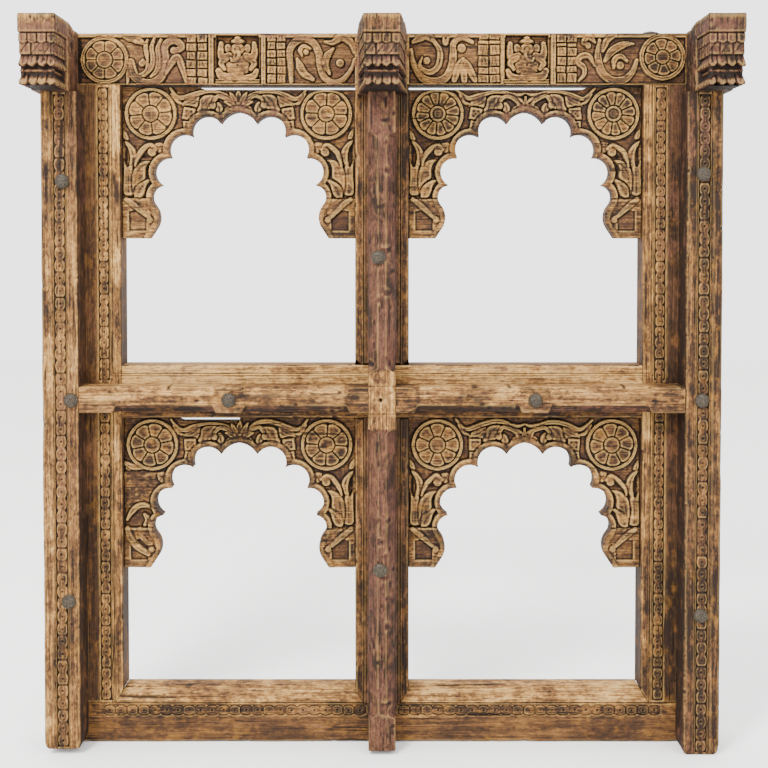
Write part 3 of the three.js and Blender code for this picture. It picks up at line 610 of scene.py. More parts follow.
def makeStile(side):
    s = size
    edges = np.array([0.0, s["fillet"], s["outerSide"] - s["jamb"]])
    feet = np.array([s["sillTop"], s["sillShoulder"], s["sillShoulder"]]) + 0.06
    across = stations((0.3, 6, 1.5), (6, 15, 2.5), (15, 24.5, 1.2), (24.5, 46, 1.2), (46, 72, 3.2),
                      (72, 142, 35))
    across = np.sort(side * (s["jamb"] + across))
    beads = 1101 if side < 0 else 1202

    def relief(field):
        cutLightLines(field)
        x = side * (s["jamb"] + 35)
        carveBeads(field, True, x, 20, s["sillShoulder"] + 6.3, -31.5, 22, beads)
        carveBeads(field, True, x, 20, 31.5, 616.5, 22, beads + 1)
        inward = np.abs(field["x"]) - s["jamb"]
        field["h"] -= 1.4 * np.exp(-((inward - 48.3) / 0.9) ** 2)
        field["h"] -= 2.4 * np.exp(-((field["z"] - np.interp(inward, edges, feet)) / 1.6) ** 2)

    def paint(x, z):
        inward = np.abs(x) - s["jamb"]
        amount = 0.06 + 0.2 * easeIn((inward - 18) / 20) * easeIn((z + 400) / 200)
        return amount + (0.08 if side > 0 else 0.0)

    def tone(x, z):
        inward = np.abs(x) - s["jamb"]
        # the strip next to the post is darkened as painted shadow cast by the post
        darker = 0.14 * easeIn((inward - 18) / 8) + 0.16 * easeIn((inward - 46) / 4)
        return 0.3 + 0.12 * (side > 0) + darker + 0.08 * easeIn(-z / 500)

    plan = {
        "across": across, "along": stations((s["sillShoulder"] + 0.3, 622.7, 2.1)),
        "depths": (0.0, s["face"]), "seed": 11 + side,
        "warp": mitredFoot(lambda a: np.interp(np.abs(a) - s["jamb"], edges, feet), 622.7),
        "paint": paint, "tone": tone, "calm": lambda x, z: 0.55 * easeIn((np.abs(x) - s["jamb"] - 44) / 4),
        "slot": "pale_wood", "material": teakUpright,
    }
    name = "left" if side < 0 else "right"
    return straightPiece(name + "_stile_carved", name + "_stile", plan, relief, True)


def makeMullion():
    s = size
    half = s["mullionSide"] - 0.3
    across = stations((26, half - 8, 1.3), (half - 8, half, 1.6), (-8, 26, 11))
    across = np.unique(np.concatenate([across, -across]).round(4))

    def cut(x, z, depth):
        lap = (z > s["transomBottom"]) & (z < s["transomTop"])
        return np.where(lap, np.minimum(depth, 26.0), depth)

    def foot(a):
        ends = [s["mullionSide"] - s["fillet"], s["mullionSide"]]
        return np.interp(np.abs(a), ends, [s["sillShoulder"] + 0.06, s["sillTop"] + 0.06])

    plan = {
        "across": across, "along": stations((s["sillShoulder"] + 0.3, -44.02, 3.6), (-43.98, 62.98, 12),
                                            (63.02, 622.7, 3.6)),
        "depths": (0.0, s["face"]), "seed": 31, "warp": mitredFoot(foot, 622.7), "cut": cut,
        "paint": lambda x, z: 0.3 + 0.2 * easeIn((40 - np.abs(x)) / 10),
        # the half right of the centre post is darker as painted shadow of the post
        "tone": lambda x, z: 0.55 + 0.2 * (x > 0) + 0.08 * easeIn(-z / 400),
        "slot": "pale_wood", "material": teakUpright,
    }
    return straightPiece("centre_mullion_carved", "centre_mullion", plan, cutLightLines, True)


def makeTransom():
    s = size
    low, high = s["transomBottom"] + 0.3, s["transomTop"] - 0.3
    across = stations((low, low + 6, 1.5), (low + 6, -20, 1.4), (-20, 20, 13), (20, 48, 1.3),
                      (48, high, 1.8))

    def cut(x, z, depth):
        return np.where(np.abs(x) < s["mullionSide"], np.maximum(depth, 26.3), depth)

    plan = {
        "across": across, "along": stations((-522, -54.02, 4), (-53.98, 53.98, 12), (54.02, 522, 4)),
        "depths": (0.0, s["face"]), "seed": 41, "cut": cut,
        # below the bar the rail is darkened as painted shadow of the bar
        "paint": lambda x, z: 0.25 + 0.0 * x, "tone": lambda x,
        z: 0.02 + 0.16 * (x > 0) + 0.62 * easeIn((20 - z) / 15),
        "slot": "pale_wood", "material": teakLevel,
    }
    return straightPiece("transom_rail_carved", "transom_rail", plan, cutLightLines, False)


def makeSill():
    s = size
    top, shoulder = s["sillTop"], s["sillShoulder"]
    across = stations((s["sillBottom"], s["sillBottom"] + 6, 1.5), (s["sillBottom"] + 6, -652, 4.4),
                      (-652, -618, 1.25), (-618, top, 1.6))
    knots = np.array([0, 37, 54, 522, 539, 665])
    tops = np.array([shoulder, shoulder, top, top, shoulder, shoulder])

    def relief(field):
        cutLightLines(field)
        for side, seed in ((-1, 61), (1, 62)):
            ends = sorted((side * 33.0, side * 562.0))
            carveBeads(field, False, s["sillTop"] - 43, 20, ends[0], ends[1], 23, seed, 1.0, True)
        # the joints with the stiles and the mullion
        jointed = (np.abs(field["x"]) > 521) | (np.abs(field["x"]) < 55)
        field["h"] -= 2.4 * np.exp(-((squeeze(field["x"]) - field["z"]) / 1.6) ** 2) * jointed

    def squeeze(along):
        return np.interp(np.abs(along), knots, tops)

    along = stations((-664, 664, 1.9))
    along = np.unique(np.concatenate([along, knots[1:-1], -knots[1:-1]]).round(3))
    plan = {
        "across": across, "along": along, "depths": (0.0, s["face"]), "seed": 51,
        "paint": lambda x, z: 0.12 + 0.08 * (z < -625) + 0.0 * x,
        "tone": lambda x, z: 0.2 + 0.34 * easeIn((-618 - z) / 5) + 0.1 * ripple(x, z, (120, 60), 5)
        + 0.12 * np.exp(-((z + 637) / 9) ** 4),
        "calm": lambda x, z: 0.5 * easeIn((-648 - z) / 6),
        "slot": "pale_wood", "material": teakLevel, "bend": squeeze,
    }
    return sillSkin(plan, relief)


def fallOf(z):
    # the top of the sill slopes down to the front
    s = size
    return s["sillFallWidth"] * np.clip((z - s["sillTop"] + s["sillFall"]) / s["sillFall"], 0, 1)


def sillSkin(plan, relief):
    # as a straight piece, with the rows drawn in to a stepped top edge
    s = size
    across, along = plan["across"], plan["along"]
    low, high = across[0], across[-1]
    count = len(across)
    loopAcross, loopDepth = sectionLoop(plan)
    a = np.tile(loopAcross, (len(along), 1))
    x = np.tile(along[:, None], (1, a.shape[1]))
    depth = np.tile(loopDepth, (len(along), 1))
    top = plan["bend"](x)
    fixed = high - 30
    z = np.where(a > fixed, fixed + (a - fixed) * (top - fixed) / (high - fixed), a)
    field = {"x": x[:, :count], "z": z[:, :count], "h": np.zeros((len(along), count)), "ground": -8.0}
    relief(field)
    wornEdges(field, low, low + 900, False, plan["seed"])
    weather(field, False, plan["seed"] + 20)
    field["h"] = np.minimum(field["h"], 0)
    depth[:, :count] += field["h"] - fallOf(field["z"])
    h = np.zeros(depth.shape)
    h[:, :count] = field["h"]
    onTop = (np.arange(depth.shape[1]) >= count) & (a > high - 0.1)
    limit = s["face"] - fallOf(z)
    depth = np.where(onTop & (depth > limit - 0.2), limit - 0.2 - 0.001 * (52 - depth), depth)
    marks = marksOf(h, plan["paint"](x, z), plan["tone"](x, z), calm=plan["calm"](x, z))
    piece = sleeve("sill_rail_carved", np.stack([x, depth, z], axis=-1), marks)
    return finishPiece(piece, "sill_rail", plan["material"])


def makePost(side):
    s = size
    outer, inner = s["outerSide"], s["postInner"]
    bottom = s["leftPostBottom"] if side < 0 else s["rightPostBottom"]
    across = stations((inner, inner + 4, 1.4), (inner + 4, 612, 2.6), (612, 641.5, 1.25), (641.5, 660, 3.0),
                      (660, outer, 1.4))
    across = np.sort(side * across)
    name = "left" if side < 0 else "right"

    def relief(field):
        outward = s["outerSide"] - np.abs(field["x"])
        for at in (22.6, 49.6, 53.6):
            field["h"] -= 1.7 * np.exp(-((outward - at) / 0.9) ** 2)
        carveBeads(field, True, side * (outer - 36), 22, bottom + 6, s["postTop"] - 6, 24.5, 71 + side, 1.0)

    def paint(x, z):
        outward = s["outerSide"] - np.abs(x)
        strip = 0.3 * easeIn((outward - 20) / 6)
        middle = 0.14 * easeIn((z + 420) / 150) * easeIn((120 - z) / 150)
        own = middle if side < 0 else 0.1 * easeIn(-z / 300)
        return 0.08 + strip * 0.5 + 0.15 * easeIn((z - 250) / 200) + own

    def tone(x, z):
        lower = 0.12 * easeIn((z - 350) / 200) + 0.1 * easeIn((-z - 250) / 300)
        beaded = 0.1 * easeIn((s["outerSide"] - np.abs(x) - 20) / 4)
        beaded = beaded * easeIn((np.abs(x) - s["postInner"] - 18) / 4)
        return (0.68 if side > 0 else 0.4) + lower + beaded

    plan = {
        "across": across, "along": stations((bottom, s["postTop"], 2.15)),
        "depths": (s["face"] + 0.3, s["postFront"]), "seed": 81 + 3 * side, "edge": 3.6, "roundFoot": 22.0,
        # the post's sides get a stronger painted shade
        "paint": paint, "tone": tone, "sideShade": 0.4, "slot": "carved_wood", "material": teakUpright,
    }
    return straightPiece(name + "_post_carved", name + "_post", plan, relief, True)


for side in (-1, 1):
    makeStile(side)
    makePost(side)
makeMullion()
makeTransom()
makeSill()
print("frame members made")


# Bar and centre post: square blocks between chamfered lengths

def octagonSkin(half, back, front, chamfer, steps):
    # points round a section whose front corners are cut by the chamfer given for each station
    c = chamfer[:, None]
    corners = [(-half + 0 * c, back + 0 * c), (-half + 0 * c, front - c), (-half + c, front + 0 * c),
               (half - c, front + 0 * c), (half + 0 * c, front - c), (half + 0 * c, back + 0 * c)]
    a, depth = [], []
    for i, count in enumerate(steps):
        start, end = corners[i], corners[(i + 1) % 6]
        t = np.arange(count)[None, :] / count
        a.append(start[0] + (end[0] - start[0]) * t)
        depth.append(start[1] + (end[1] - start[1]) * t)
    return np.concatenate(a, axis=1), np.concatenate(depth, axis=1)


def chamferAlong(along, blocks, full, slope, edge):
    # how deep the chamfer is at each station: shallow in the blocks, full between them
    away = np.full(along.shape, 1e9)
    for start, end in blocks:
        away = np.minimum(away, np.maximum(np.maximum(start - along, along - end), 0))
    return edge + (full - edge) * easeIn(away / slope)


def chamferedPiece(name, node, plan, upright):
    along = plan["along"]
    half, (back, front) = plan["half"], plan["depths"]
    chamfer = chamferAlong(along, plan["blocks"], plan["chamfer"], 10, 2.0)
    a, depth = octagonSkin(half, back, front, chamfer, (5, 9, plan["flatSteps"], 9, 5, 4))
    s = np.tile(along[:, None], (1, a.shape[1]))
    # worn arrises: each point drawn a little to its neighbours round the front
    for _ in range(2):
        aNext = (np.roll(a, 1, 1) + np.roll(a, -1, 1) + 2 * a) / 4
        dNext = (np.roll(depth, 1, 1) + np.roll(depth, -1, 1) + 2 * depth) / 4
        onFront = depth > back + 12
        a, depth = np.where(onFront, aNext, a), np.where(onFront, dNext, depth)
    ring = np.arange(a.shape[1])
    fade = easeIn((depth - back - 3) / 12)
    rough = ripple(a * 1.0 + ring * 3.0, s, (5, 120), plan["seed"]) * 0.35
    rough = rough + np.minimum(0, ripple(a, s, (22, 60), plan["seed"] + 1)) * 1.6
    rough = rough - np.clip(ripple(a, s, (8, 14), plan["seed"] + 2) - 0.55, 0, 1) * 5
    h = np.minimum(rough, 0) * fade
    h = h + plan["relief"](a, s) * (depth > front - 6)
    depth = depth + h
    a = a * (1 + np.minimum(rough, 0) * fade * 0.012)
    x, z = (a, s) if upright else (s, a)
    depth = plan["cut"](x, z, depth)
    marks = marksOf(h, plan["paint"](x, z), plan["tone"](x, z), 3)
    # chamfers are shaded by which way they face: the bar's lower chamfer gets painted shade, its upper one
    # painted light, and the post's right chamfer painted shade
    onCut = easeIn((np.abs(a) - half + chamfer[:, None]) / 2 + 0.2) * easeIn((chamfer[:, None] - 5) / 6)
    marks["tone"] = marks["tone"] + onCut * np.where(a < 0, *plan["cutTones"]) * (depth > back + 6)
    # the arrises get a lighter wear value, partly rubbing and partly a painted highlight, and the sides near
    # the back, against the frame behind, a darker one as painted shade
    arris = np.exp(-((np.abs(a) - (half - chamfer[:, None])) / 2.2) ** 2)
    sunk = easeIn((back + 8 - depth) / 8)
    marks["wear"] = np.clip(marks["wear"] + 0.3 * arris - 0.5 * sunk, -1, 1)
    piece = sleeve(name, np.stack([x, depth, z], axis=-1), marks)
    return finishPiece(piece, node, plan["material"])


barPlan = {
    "along": stations((-592.7, -27.32, 3.2), (-27.28, 27.28, 9), (27.32, 592.7, 3.2)), "half": 25.5,
    "depths": (52.3, 110.0), "chamfer": 16.0, "flatSteps": 8, "seed": 301,
    "blocks": [(-592.7, -529.7), (-323.5, -276.5), (-61, 61), (276.5, 323.5), (529.7, 592.7)],
    "relief": lambda a, s: 0.0 * a,
    "cut": lambda x, z, depth: np.where(np.abs(x) < 27.3, np.minimum(depth, 81.0), depth),
    "paint": lambda x, z: 0.2 - 0.2 * (np.abs(x) < 75) + 0.2 * (z < -10),
    # the lower chamfer darker as painted shade, the upper one lighter as painted light
    "tone": lambda x, z: 0.36 + 0.1 * (x > 0) + 0.24 * (np.abs(x) < 75), "cutTones": (0.62, -0.16),
    "slot": "painted_wood", "material": teakLevel,
}


def lapCuts(a, s):
    # the drilled dot in the middle of the lap, its two joint lines and a crack
    dot = -7.0 * np.exp(-(((a + 3) ** 2 + s ** 2) / 14) ** 2)
    joints = 1.6 * np.exp(-((np.abs(s) - 27) / 1.0) ** 2)
    crack = 1.2 * np.exp(-((s - 4) / 0.8) ** 2) * (a > 0) * (np.abs(s) < 30)
    return dot - joints - crack


postPlan = {
    "along": stations((-693, -56, 3.4), (-56, -25.82, 1.6), (-25.78, 25.78, 1.6), (25.82, 54, 1.6),
                      (54, 601.7, 3.4)),
    "half": 27.0, "depths": (52.3, 110.0), "chamfer": 19.0, "flatSteps": 14, "seed": 311,
    "blocks": [(-693, -631), (-55.5, 52.5), (524, 601.7)],
    "relief": lapCuts,
    "cut": lambda x, z, depth: np.where(np.abs(z) < 25.8, np.maximum(depth, 81.3), depth),
    "paint": lambda x, z: 0.55 - 0.5 * easeIn((62 - np.abs(z)) / 8) - 0.1 * easeIn((-z - 560) / 40),
    # the right chamfer darker as painted shade
    "tone": lambda x, z: 0.7 - 0.3 * easeIn((62 - np.abs(z)) / 8), "cutTones": (0.0, 0.3),
    "slot": "painted_wood", "material": teakUpright,
}
chamferedPiece("transom_bar_worn", "transom_bar", barPlan, False)
chamferedPiece("centre_post_worn", "centre_post", postPlan, True)
print("bar and centre post made")


# Capitals

capitalPlan = {
    "top": 735.0, "bottom": 602.0, "back": 52.3, "front": 202.0, "frontHalf": 36.0,
    "strip": 26.0, "slant": 124.4, "tiers": (699.0, 680.0, 658.0, 636.0, 622.0), "lobes": (7, 4, 7),
}


def makeCapital(node, centre, backHalf, plainDepth, dark, seed):
    p = capitalPlan
    turn = p["back"] + p["strip"]
    corners = np.array([(-backHalf, p["back"]), (-backHalf, turn), (-p["frontHalf"], p["front"]),
                        (p["frontHalf"], p["front"]), (backHalf, turn), (backHalf, p["back"])])
    counts = (8, 64, 44, 64, 8, 6)
    xs, ds, face, local, normals = [], [], [], [], []
    for i, count in enumerate(counts):
        start, end = corners[i], corners[(i + 1) % 6]
        t = np.arange(count) / count
        xs.append(start[0] + (end[0] - start[0]) * t)
        ds.append(start[1] + (end[1] - start[1]) * t)
        face.append(np.full(count, i))
        local.append(t)
        way = (end - start) / np.linalg.norm(end - start)
        normals.append(np.tile([[-way[1], way[0]]], (count, 1)))
    xs, ds, face, local = map(np.concatenate, (xs, ds, face, local))
    normals = np.concatenate(normals)
    for _ in range(3):
        normals = (np.roll(normals, 1, 0) + normals + np.roll(normals, -1, 0)) / 3
    up = stations((p["bottom"], 625, 1.4), (625, 664, 1.5), (664, 704, 1.4), (704, p["top"], 2.6))
    z = np.tile(up[:, None], (1, len(xs)))
    f, t = np.tile(face, (len(up), 1)), np.tile(local, (len(up), 1))
    lobes = np.select([f == 1, f == 2, f == 3], p["lobes"], 1)
    random = np.random.default_rng(seed)
    shift = random.uniform(-0.12, 0.12, 64)

    def lobed(count, key):
        index = np.floor(t * count).astype(int)
        middle = 2 * (t * count - index) - 1
        return np.clip(middle + shift[(index + key + 9 * f) % 64], -1, 1)

    carved = (f >= 1) & (f <= 3)
    z1, z2, z3, z4, z5 = p["tiers"]
    inset = np.zeros(z.shape)
    # hanging tabs
    m = lobed(lobes, 0)
    tabEdge = z2 + 4 * np.abs(m) ** 2.5
    tabs = 2.2 + 3.2 * np.exp(-((1 - np.abs(m)) / 0.1) ** 2) * (z > tabEdge)
    inset = np.where((z <= z1) & (z > z2), np.where(z > tabEdge, tabs, 5.0), inset)
    inset += 3.0 * np.exp(-((z - z1) / 1.1) ** 2)
    # tablets with slanted cuts
    m = lobed(lobes - 1, 20)
    slant = np.abs((m * 9) - (z - 669) * 0.55 + 3)
    tablets = 4.2 + 2.6 * np.exp(-((1 - np.abs(m)) / 0.09) ** 2) + 1.6 * np.exp(-(slant / 1.1) ** 2)
    inset = np.where((z <= z2) & (z > z3), tablets, inset)
    inset += 2.6 * np.exp(-((z - z3) / 1.0) ** 2)
    # a row of petals that flares out to its points
    m = lobed(lobes, 33)
    petalEdge = z4 + 7 * np.abs(m) ** 1.6
    flare = 7.5 * (1 - easeIn((z3 - z) / 21))
    petals = flare + 2.6 * np.exp(-((1 - np.abs(m)) / 0.13) ** 2) + 0.9 * np.exp(-(m / 0.1) ** 2)
    inset = np.where((z <= z3) & (z > petalEdge), petals, inset)
    # the neck
    neck = 11 - 3.0 * np.exp(-((z - 629) / 3.0) ** 2)
    inset = np.where((z <= petalEdge) & (z > z5), neck, inset)
    # the lowest row, its points turned up and out
    m = lobed(lobes, 47)
    leafEdge = p["bottom"] + 6.5 * np.abs(m) ** 1.8
    flare = 9.5 * (1 - easeIn((z5 - z) / 15)) + 1.0
    leaves = flare + 3.4 * np.exp(-((1 - np.abs(m)) / 0.16) ** 2)
    inset = np.where((z <= z5) & (z > leafEdge), leaves, inset)
    inset = np.where(z <= leafEdge, 9.0 + 0.8 * (leafEdge - z), inset)
    # the strip against the head stays plain
    plain = np.select([f == 0, f == 4, f == 5], [1.0, 1.0, 1.0], 0.0)
    behind = easeIn((plainDepth - ds[None, :]) / 5 + 0.5) * (z <= z1 + 2)
    plain = np.maximum(plain, behind)
    inset = inset * (1 - plain)
    inset = np.where(f == 5, 0, inset)
    # wear: slow waves, dents, and cracks down the blocks
    s = np.cumsum(np.hypot(np.diff(xs, prepend=xs[0]), np.diff(ds, prepend=ds[0])))
    s = np.tile(s, (len(up), 1))
    worn = np.clip(ripple(s, z, (14, 11), seed) - 0.25, 0, 1) * 2.2
    worn = worn + ripple(s, z, (5, 28), seed + 1) * 0.35 + 0.35
    worn = worn + np.clip(ripple(s, z, (6, 7), seed + 2) - 0.5, 0, 1) * 3.0
    past = s - p["strip"] - p["slant"]
    corner = np.minimum(np.abs(past), np.abs(past - 2 * p["frontHalf"]))
    worn = worn + 2.0 * np.clip(1 - corner / 4, 0, 1) ** 2
    worn = worn + 2.4 * np.clip((z - p["top"] + 3) / 3, 0, 1) ** 2
    inset = inset + np.where(f == 5, 0, worn * (carved + 0.4 * (~carved)))
    x = centre + xs[None, :] + np.where(f == 5, 0, -normals[None, :, 0] * inset)
    depth = ds[None, :] - np.where(f == 5, 0, normals[None, :, 1] * inset)
    depth = np.maximum(depth, p["back"])
    # the top falls towards the back, with a rounded shoulder
    drop = 4 * easeIn((turn + 34 - depth) / 24) + 5 * easeIn((turn + 9 - depth) / 6)
    place = z - drop * easeIn((z - z1) / 34)
    h = -inset
    paint = 0.46 + 0.16 * ripple(s, z, (60, 50), seed + 5) - 0.2 * easeIn((z - 715) / 18)
    # the sides and back are darker than the front as painted shade
    tone = 0.56 + dark - 0.2 * easeIn((z - 700) / 12) + 0.12 * (f != 2)
    marks = marksOf(h, paint, tone, 3)
    # the deep cuts and the neck are darkened as painted shade
    marks["sunk"] = np.clip((inset - 3) / 9, 0, 1)
    marks["wear"] = np.clip(marks["wear"] - 0.6 * easeIn((inset - 5) / 5), -1, 0.45)
    piece = sleeve(node + "_carved", np.stack([x, depth, place], axis=-1), marks)
    return finishPiece(piece, node, teakUpright)


makeCapital("left_capital", -641.5, 36.0, 124.0, -0.06, 401)
makeCapital("centre_capital", 0.0, 49.0, 80.0, 0.22, 402)
makeCapital("right_capital", 641.5, 36.0, 124.0, 0.4, 403)
print("capitals made")


# The carved head: drawn in parts, each with its own corner and unit in mm

headParts = [
    {
        "from": (-604.0, 737.0), "unit": 0.2041,
        "rosette": {"at": (250, 318), "ring": 235, "reach": 190, "heart": 80, "petals": 8, "turn": 0.39},
        "ribbons": [
            ([(400, 70), (520, 95), (640, 160)], 70, (0.3, 0.4), 1),
            ([(470, 560), (500, 330), (560, 470), (650, 440), (672, 370), (620, 325)], 46, (0.4, 0.7), 1),
            ([(480, 330), (530, 480), (680, 545), (800, 480), (842, 320), (830, 210), (870, 145), (945, 130),
              (1005, 190), (930, 235)], 62, (0.6, 0.7), 2),
            ([(700, 480), (758, 420), (776, 320), (768, 210), (800, 120)], 44, (0.5, 0.5), 1),
            ([(660, 450), (708, 390), (722, 300), (708, 200), (735, 105)], 40, (0.5, 0.5), 1),
            ([(672, 330), (662, 260), (650, 190), (668, 120)], 36, (0.5, 0.5), 0),
            ([(850, 450), (900, 350), (960, 290), (1010, 400), (1045, 530)], 52, (0.4, 0.5), 1),
        ],
        "balls": [(612, 350, 34), (925, 225, 36)],
        "columns": [(1050, 1140, (75, 150, 235, 315, 400, 480, 565), 1),
                    (1160, 1250, (70, 150, 230, 320, 400, 485, 565), -1)],
        "fillets": [(1265, 1318)],
    },
    {
        "from": (-304.0, 737.0), "unit": 0.16835,
        "ribbons": [
            ([(730, 640), (722, 450), (712, 280), (780, 170), (890, 135), (1000, 190), (1060, 310),
              (1075, 450),
              (1125, 590), (1235, 650), (1350, 610), (1450, 480), (1482, 380)], 66, (0.6, 0.5), 2),
            ([(1480, 300), (1440, 180), (1330, 115), (1220, 180), (1130, 170)], 70, (0.4, 0.35), 1),
            ([(1230, 250), (1150, 350), (1140, 450), (1185, 545)], 64, (0.4, 0.5), 3),
            ([(860, 335), (838, 270), (880, 225), (955, 250)], 44, (0.5, 0.6), 1),
            ([(800, 370), (870, 530), (985, 610)], 70, (0.4, 0.6), 1),
        ],
        "balls": [(1310, 420, 50), (905, 290, 36)],
        "columns": [(445, 548, (80, 170, 265, 360, 450, 550, 660), 1),
                    (562, 665, (80, 175, 265, 355, 455, 550, 660), -1)],
        "fillets": [(372, 432)],
    },
    {
        "from": (44.0, 737.0), "unit": 0.19417,
        "ribbons": [
            ([(70, 230), (90, 350), (180, 510), (300, 555), (420, 520), (490, 400), (505, 250),
              (510, 160), (590, 105),
              (700, 150)], 62, (0.5, 0.5), 2),
            ([(90, 150), (220, 85), (330, 160)], 66, (0.4, 0.4), 1),
            ([(287, 126), (366, 236), (350, 394), (256, 458), (161, 394), (185, 308)], 48, (0.5, 0.4), 1),
            ([(405, 110), (425, 165), (450, 110)], 36, (0.6, 0.6), 0),
            ([(600, 320), (560, 400), (515, 540)], 60, (0.4, 0.7), 1),
            ([(610, 320), (660, 410), (730, 540)], 60, (0.4, 0.7), 1),
            ([(605, 330), (612, 430), (620, 545)], 58, (0.4, 0.8), 1),
        ],
        "balls": [(232, 340, 38), (590, 212, 46)],
        "columns": [(765, 867, (75, 130, 175, 290, 405, 480, 570), 1),
                    (880, 982, (75, 130, 175, 285, 400, 480, 570), -1)],
        "fillets": [(990, 1032), (1510, 1552)],
    },
    {
        "from": (326.0, 737.0), "unit": 0.19771,
        "rosette": {"at": (1180, 300), "ring": 235, "reach": 185, "heart": 72, "petals": 8, "turn": 0.1},
        "ribbons": [
            ([(505, 155), (435, 95), (385, 145), (430, 180)], 44, (0.4, 0.7), 1),
            ([(500, 390), (440, 290), (360, 290), (328, 350), (385, 400), (392, 470), (335, 540)], 46,
             (0.4, 0.4), 1),
            ([(545, 130), (530, 300), (570, 450), (680, 535), (800, 522), (882, 440), (922, 330)], 62,
             (0.5, 0.5), 2),
            ([(600, 335), (680, 230), (800, 170), (890, 165)], 60, (0.5, 0.3), 2),
            ([(575, 240), (620, 130), (710, 80)], 52, (0.5, 0.4), 1),
            ([(690, 410), (700, 320), (760, 288), (822, 335)], 42, (0.5, 0.6), 1),
        ],
        "balls": [(430, 182, 32), (755, 382, 40)],
        "columns": [(114, 208, (75, 155, 195, 290, 385, 455, 560), 1),
                    (220, 314, (75, 155, 200, 290, 385, 455, 560), -1)],
        "fillets": [(55, 105)],
    },
]

# The seated figures: a round belly, an elephant's head with a curled trunk, crossed legs, raised hands
figurePlan = {
    "height": 94.0, "bottom": 626.0, "places": (-288.0, 289.0), "halfWidth": 42.0,
    "lumps": [((0, 0.36), (0.27, 0.23), 0.4, 6.0), ((0, 0.53), (0.19, 0.1), -0.6, 4.0),
              ((0, 0.72), (0.16, 0.13), 0.4, 5.0), ((-0.21, 0.74), (0.08, 0.1), -2.0, 3.0),
              ((0.21, 0.74), (0.08, 0.1), -2.0, 3.0), ((0, 0.89), (0.15, 0.06), -0.8, 3.0),
              ((0, 0.96), (0.08, 0.04), -0.8, 2.0)],
    "limbs": [([(-0.4, 0.26), (-0.33, 0.15), (-0.12, 0.13), (0.08, 0.18)], 0.2, -0.2),
              ([(0.4, 0.26), (0.33, 0.15), (0.12, 0.1), (-0.06, 0.1)], 0.16, -0.6),
              ([(-0.17, 0.6), (-0.33, 0.55), (-0.36, 0.68), (-0.35, 0.84)], 0.16, -1.2),
              ([(0.17, 0.6), (0.33, 0.55), (0.36, 0.68), (0.35, 0.84)], 0.16, -1.2),
              ([(-0.19, 0.54), (-0.35, 0.44), (-0.28, 0.3)], 0.14, -0.4),
              ([(0.19, 0.54), (0.35, 0.44), (0.28, 0.3)], 0.14, -0.4),
              ([(0.0, 0.72), (0.03, 0.6), (-0.02, 0.5), (-0.11, 0.47), (-0.14, 0.53)], 0.09, 1.0)],
}


def carveFigure(field, middle, flip):
    p = figurePlan

    def place(u, v):
        return middle + flip * u * p["height"], p["bottom"] + v * p["height"]

    deep = (np.abs(field["x"] - middle) < p["halfWidth"]) & (field["z"] > p["bottom"]) & (field["z"] < 721)
    ground, field["ground"] = field["ground"], -13.0
    field["h"] = np.where(deep, field["ground"], field["h"])
    for base, level in ((0.02, -0.5), (0.075, -2.5)):
        carveBlock(field, np.array(place(-0.48, base - 0.02)), np.array(place(0.48, base + 0.022)), level)
    for (u, v), reach, level, swell in p["lumps"]:
        carveLump(field, place(u, v), np.array(reach) * p["height"], level, swell)
    for points, width, level in p["limbs"]:
        carveRibbon(field, [place(u, v) for u, v in points], width * p["height"], level, (0.8, 0.7), 0, 2.6)
    carveHollow(field, place(0.0, 0.38), (2.2, 2.2), 3.0)
    for u in (-0.06, 0.06):
        carveHollow(field, place(u, 0.72), (1.6, 1.6), 2.0)
    field["ground"] = ground


def headRelief(field):
    s = size
    x, z = field["x"], field["z"]
    low, high = s["headBottom"] + 2.5, s["headTop"] - 8.5
    inPanel = (np.abs(x) > 54) & (np.abs(x) < 606)
    field["h"] = np.where(inPanel & (z > low) & (z < high), field["ground"], 0.0)
    field["h"] += np.where(field["h"] < -4, ripple(x, z, (5, 4), 91) * 0.7, 0)
    for part in headParts:
        unit, (left, top) = part["unit"], part["from"]

        def at(u, v):
            return left + u * unit, top - v * unit

        for start, end in part["fillets"]:
            carveBlock(field, np.array(at(start, 700)), np.array(at(end, 40)), 0.0)
        for start, end, rows, lean in part["columns"]:
            random = np.random.default_rng(start + end)
            for upper, lower in zip(rows, rows[1:]):
                slip = random.uniform(-6, 6, 4)
                ends = (at(start + slip[0], lower - 5), at(end + slip[1], upper + 5))
                carveBlock(field, np.array(ends[0]), np.array(ends[1]), random.uniform(-1.6, -0.2),
                           random.uniform(-0.08, 0.08), 2.2)
                middle = (start + end) / 2 + lean * 8
                for slant in (-1, 1):
                    carveLine(field, [at(middle + slant * 26 + slip[2], lower - 14),
                                      at(middle + slant * 10 + slip[3] * 3, upper + 14)], 1.5, 1.0)
        for points, width, tips, veins in part["ribbons"]:
            carveRibbon(field, [at(u, v) for u, v in points], width * unit * 1.4, 0.0, tips, veins, 2.4)
        for u, v, radius in part["balls"]:
            carveBall(field, at(u, v), radius * unit, 0.0)
        if "rosette" in part:
            r = part["rosette"]
            carveRosette(field, at(*r["at"]), r["ring"] * unit, r["petals"], r["reach"] * unit,
                         r["heart"] * unit,
                         r["turn"], 0.0)
    carveFigure(field, figurePlan["places"][0], 1)
    carveFigure(field, figurePlan["places"][1], -1)
    # the top edge is worn away here and there
    edge = 3 + 3.0 * ripple(x, x * 0, (48, 1), 95)
    field["h"] -= 1.5 * np.clip((z - s["headTop"] + edge) / 4, 0, 1)


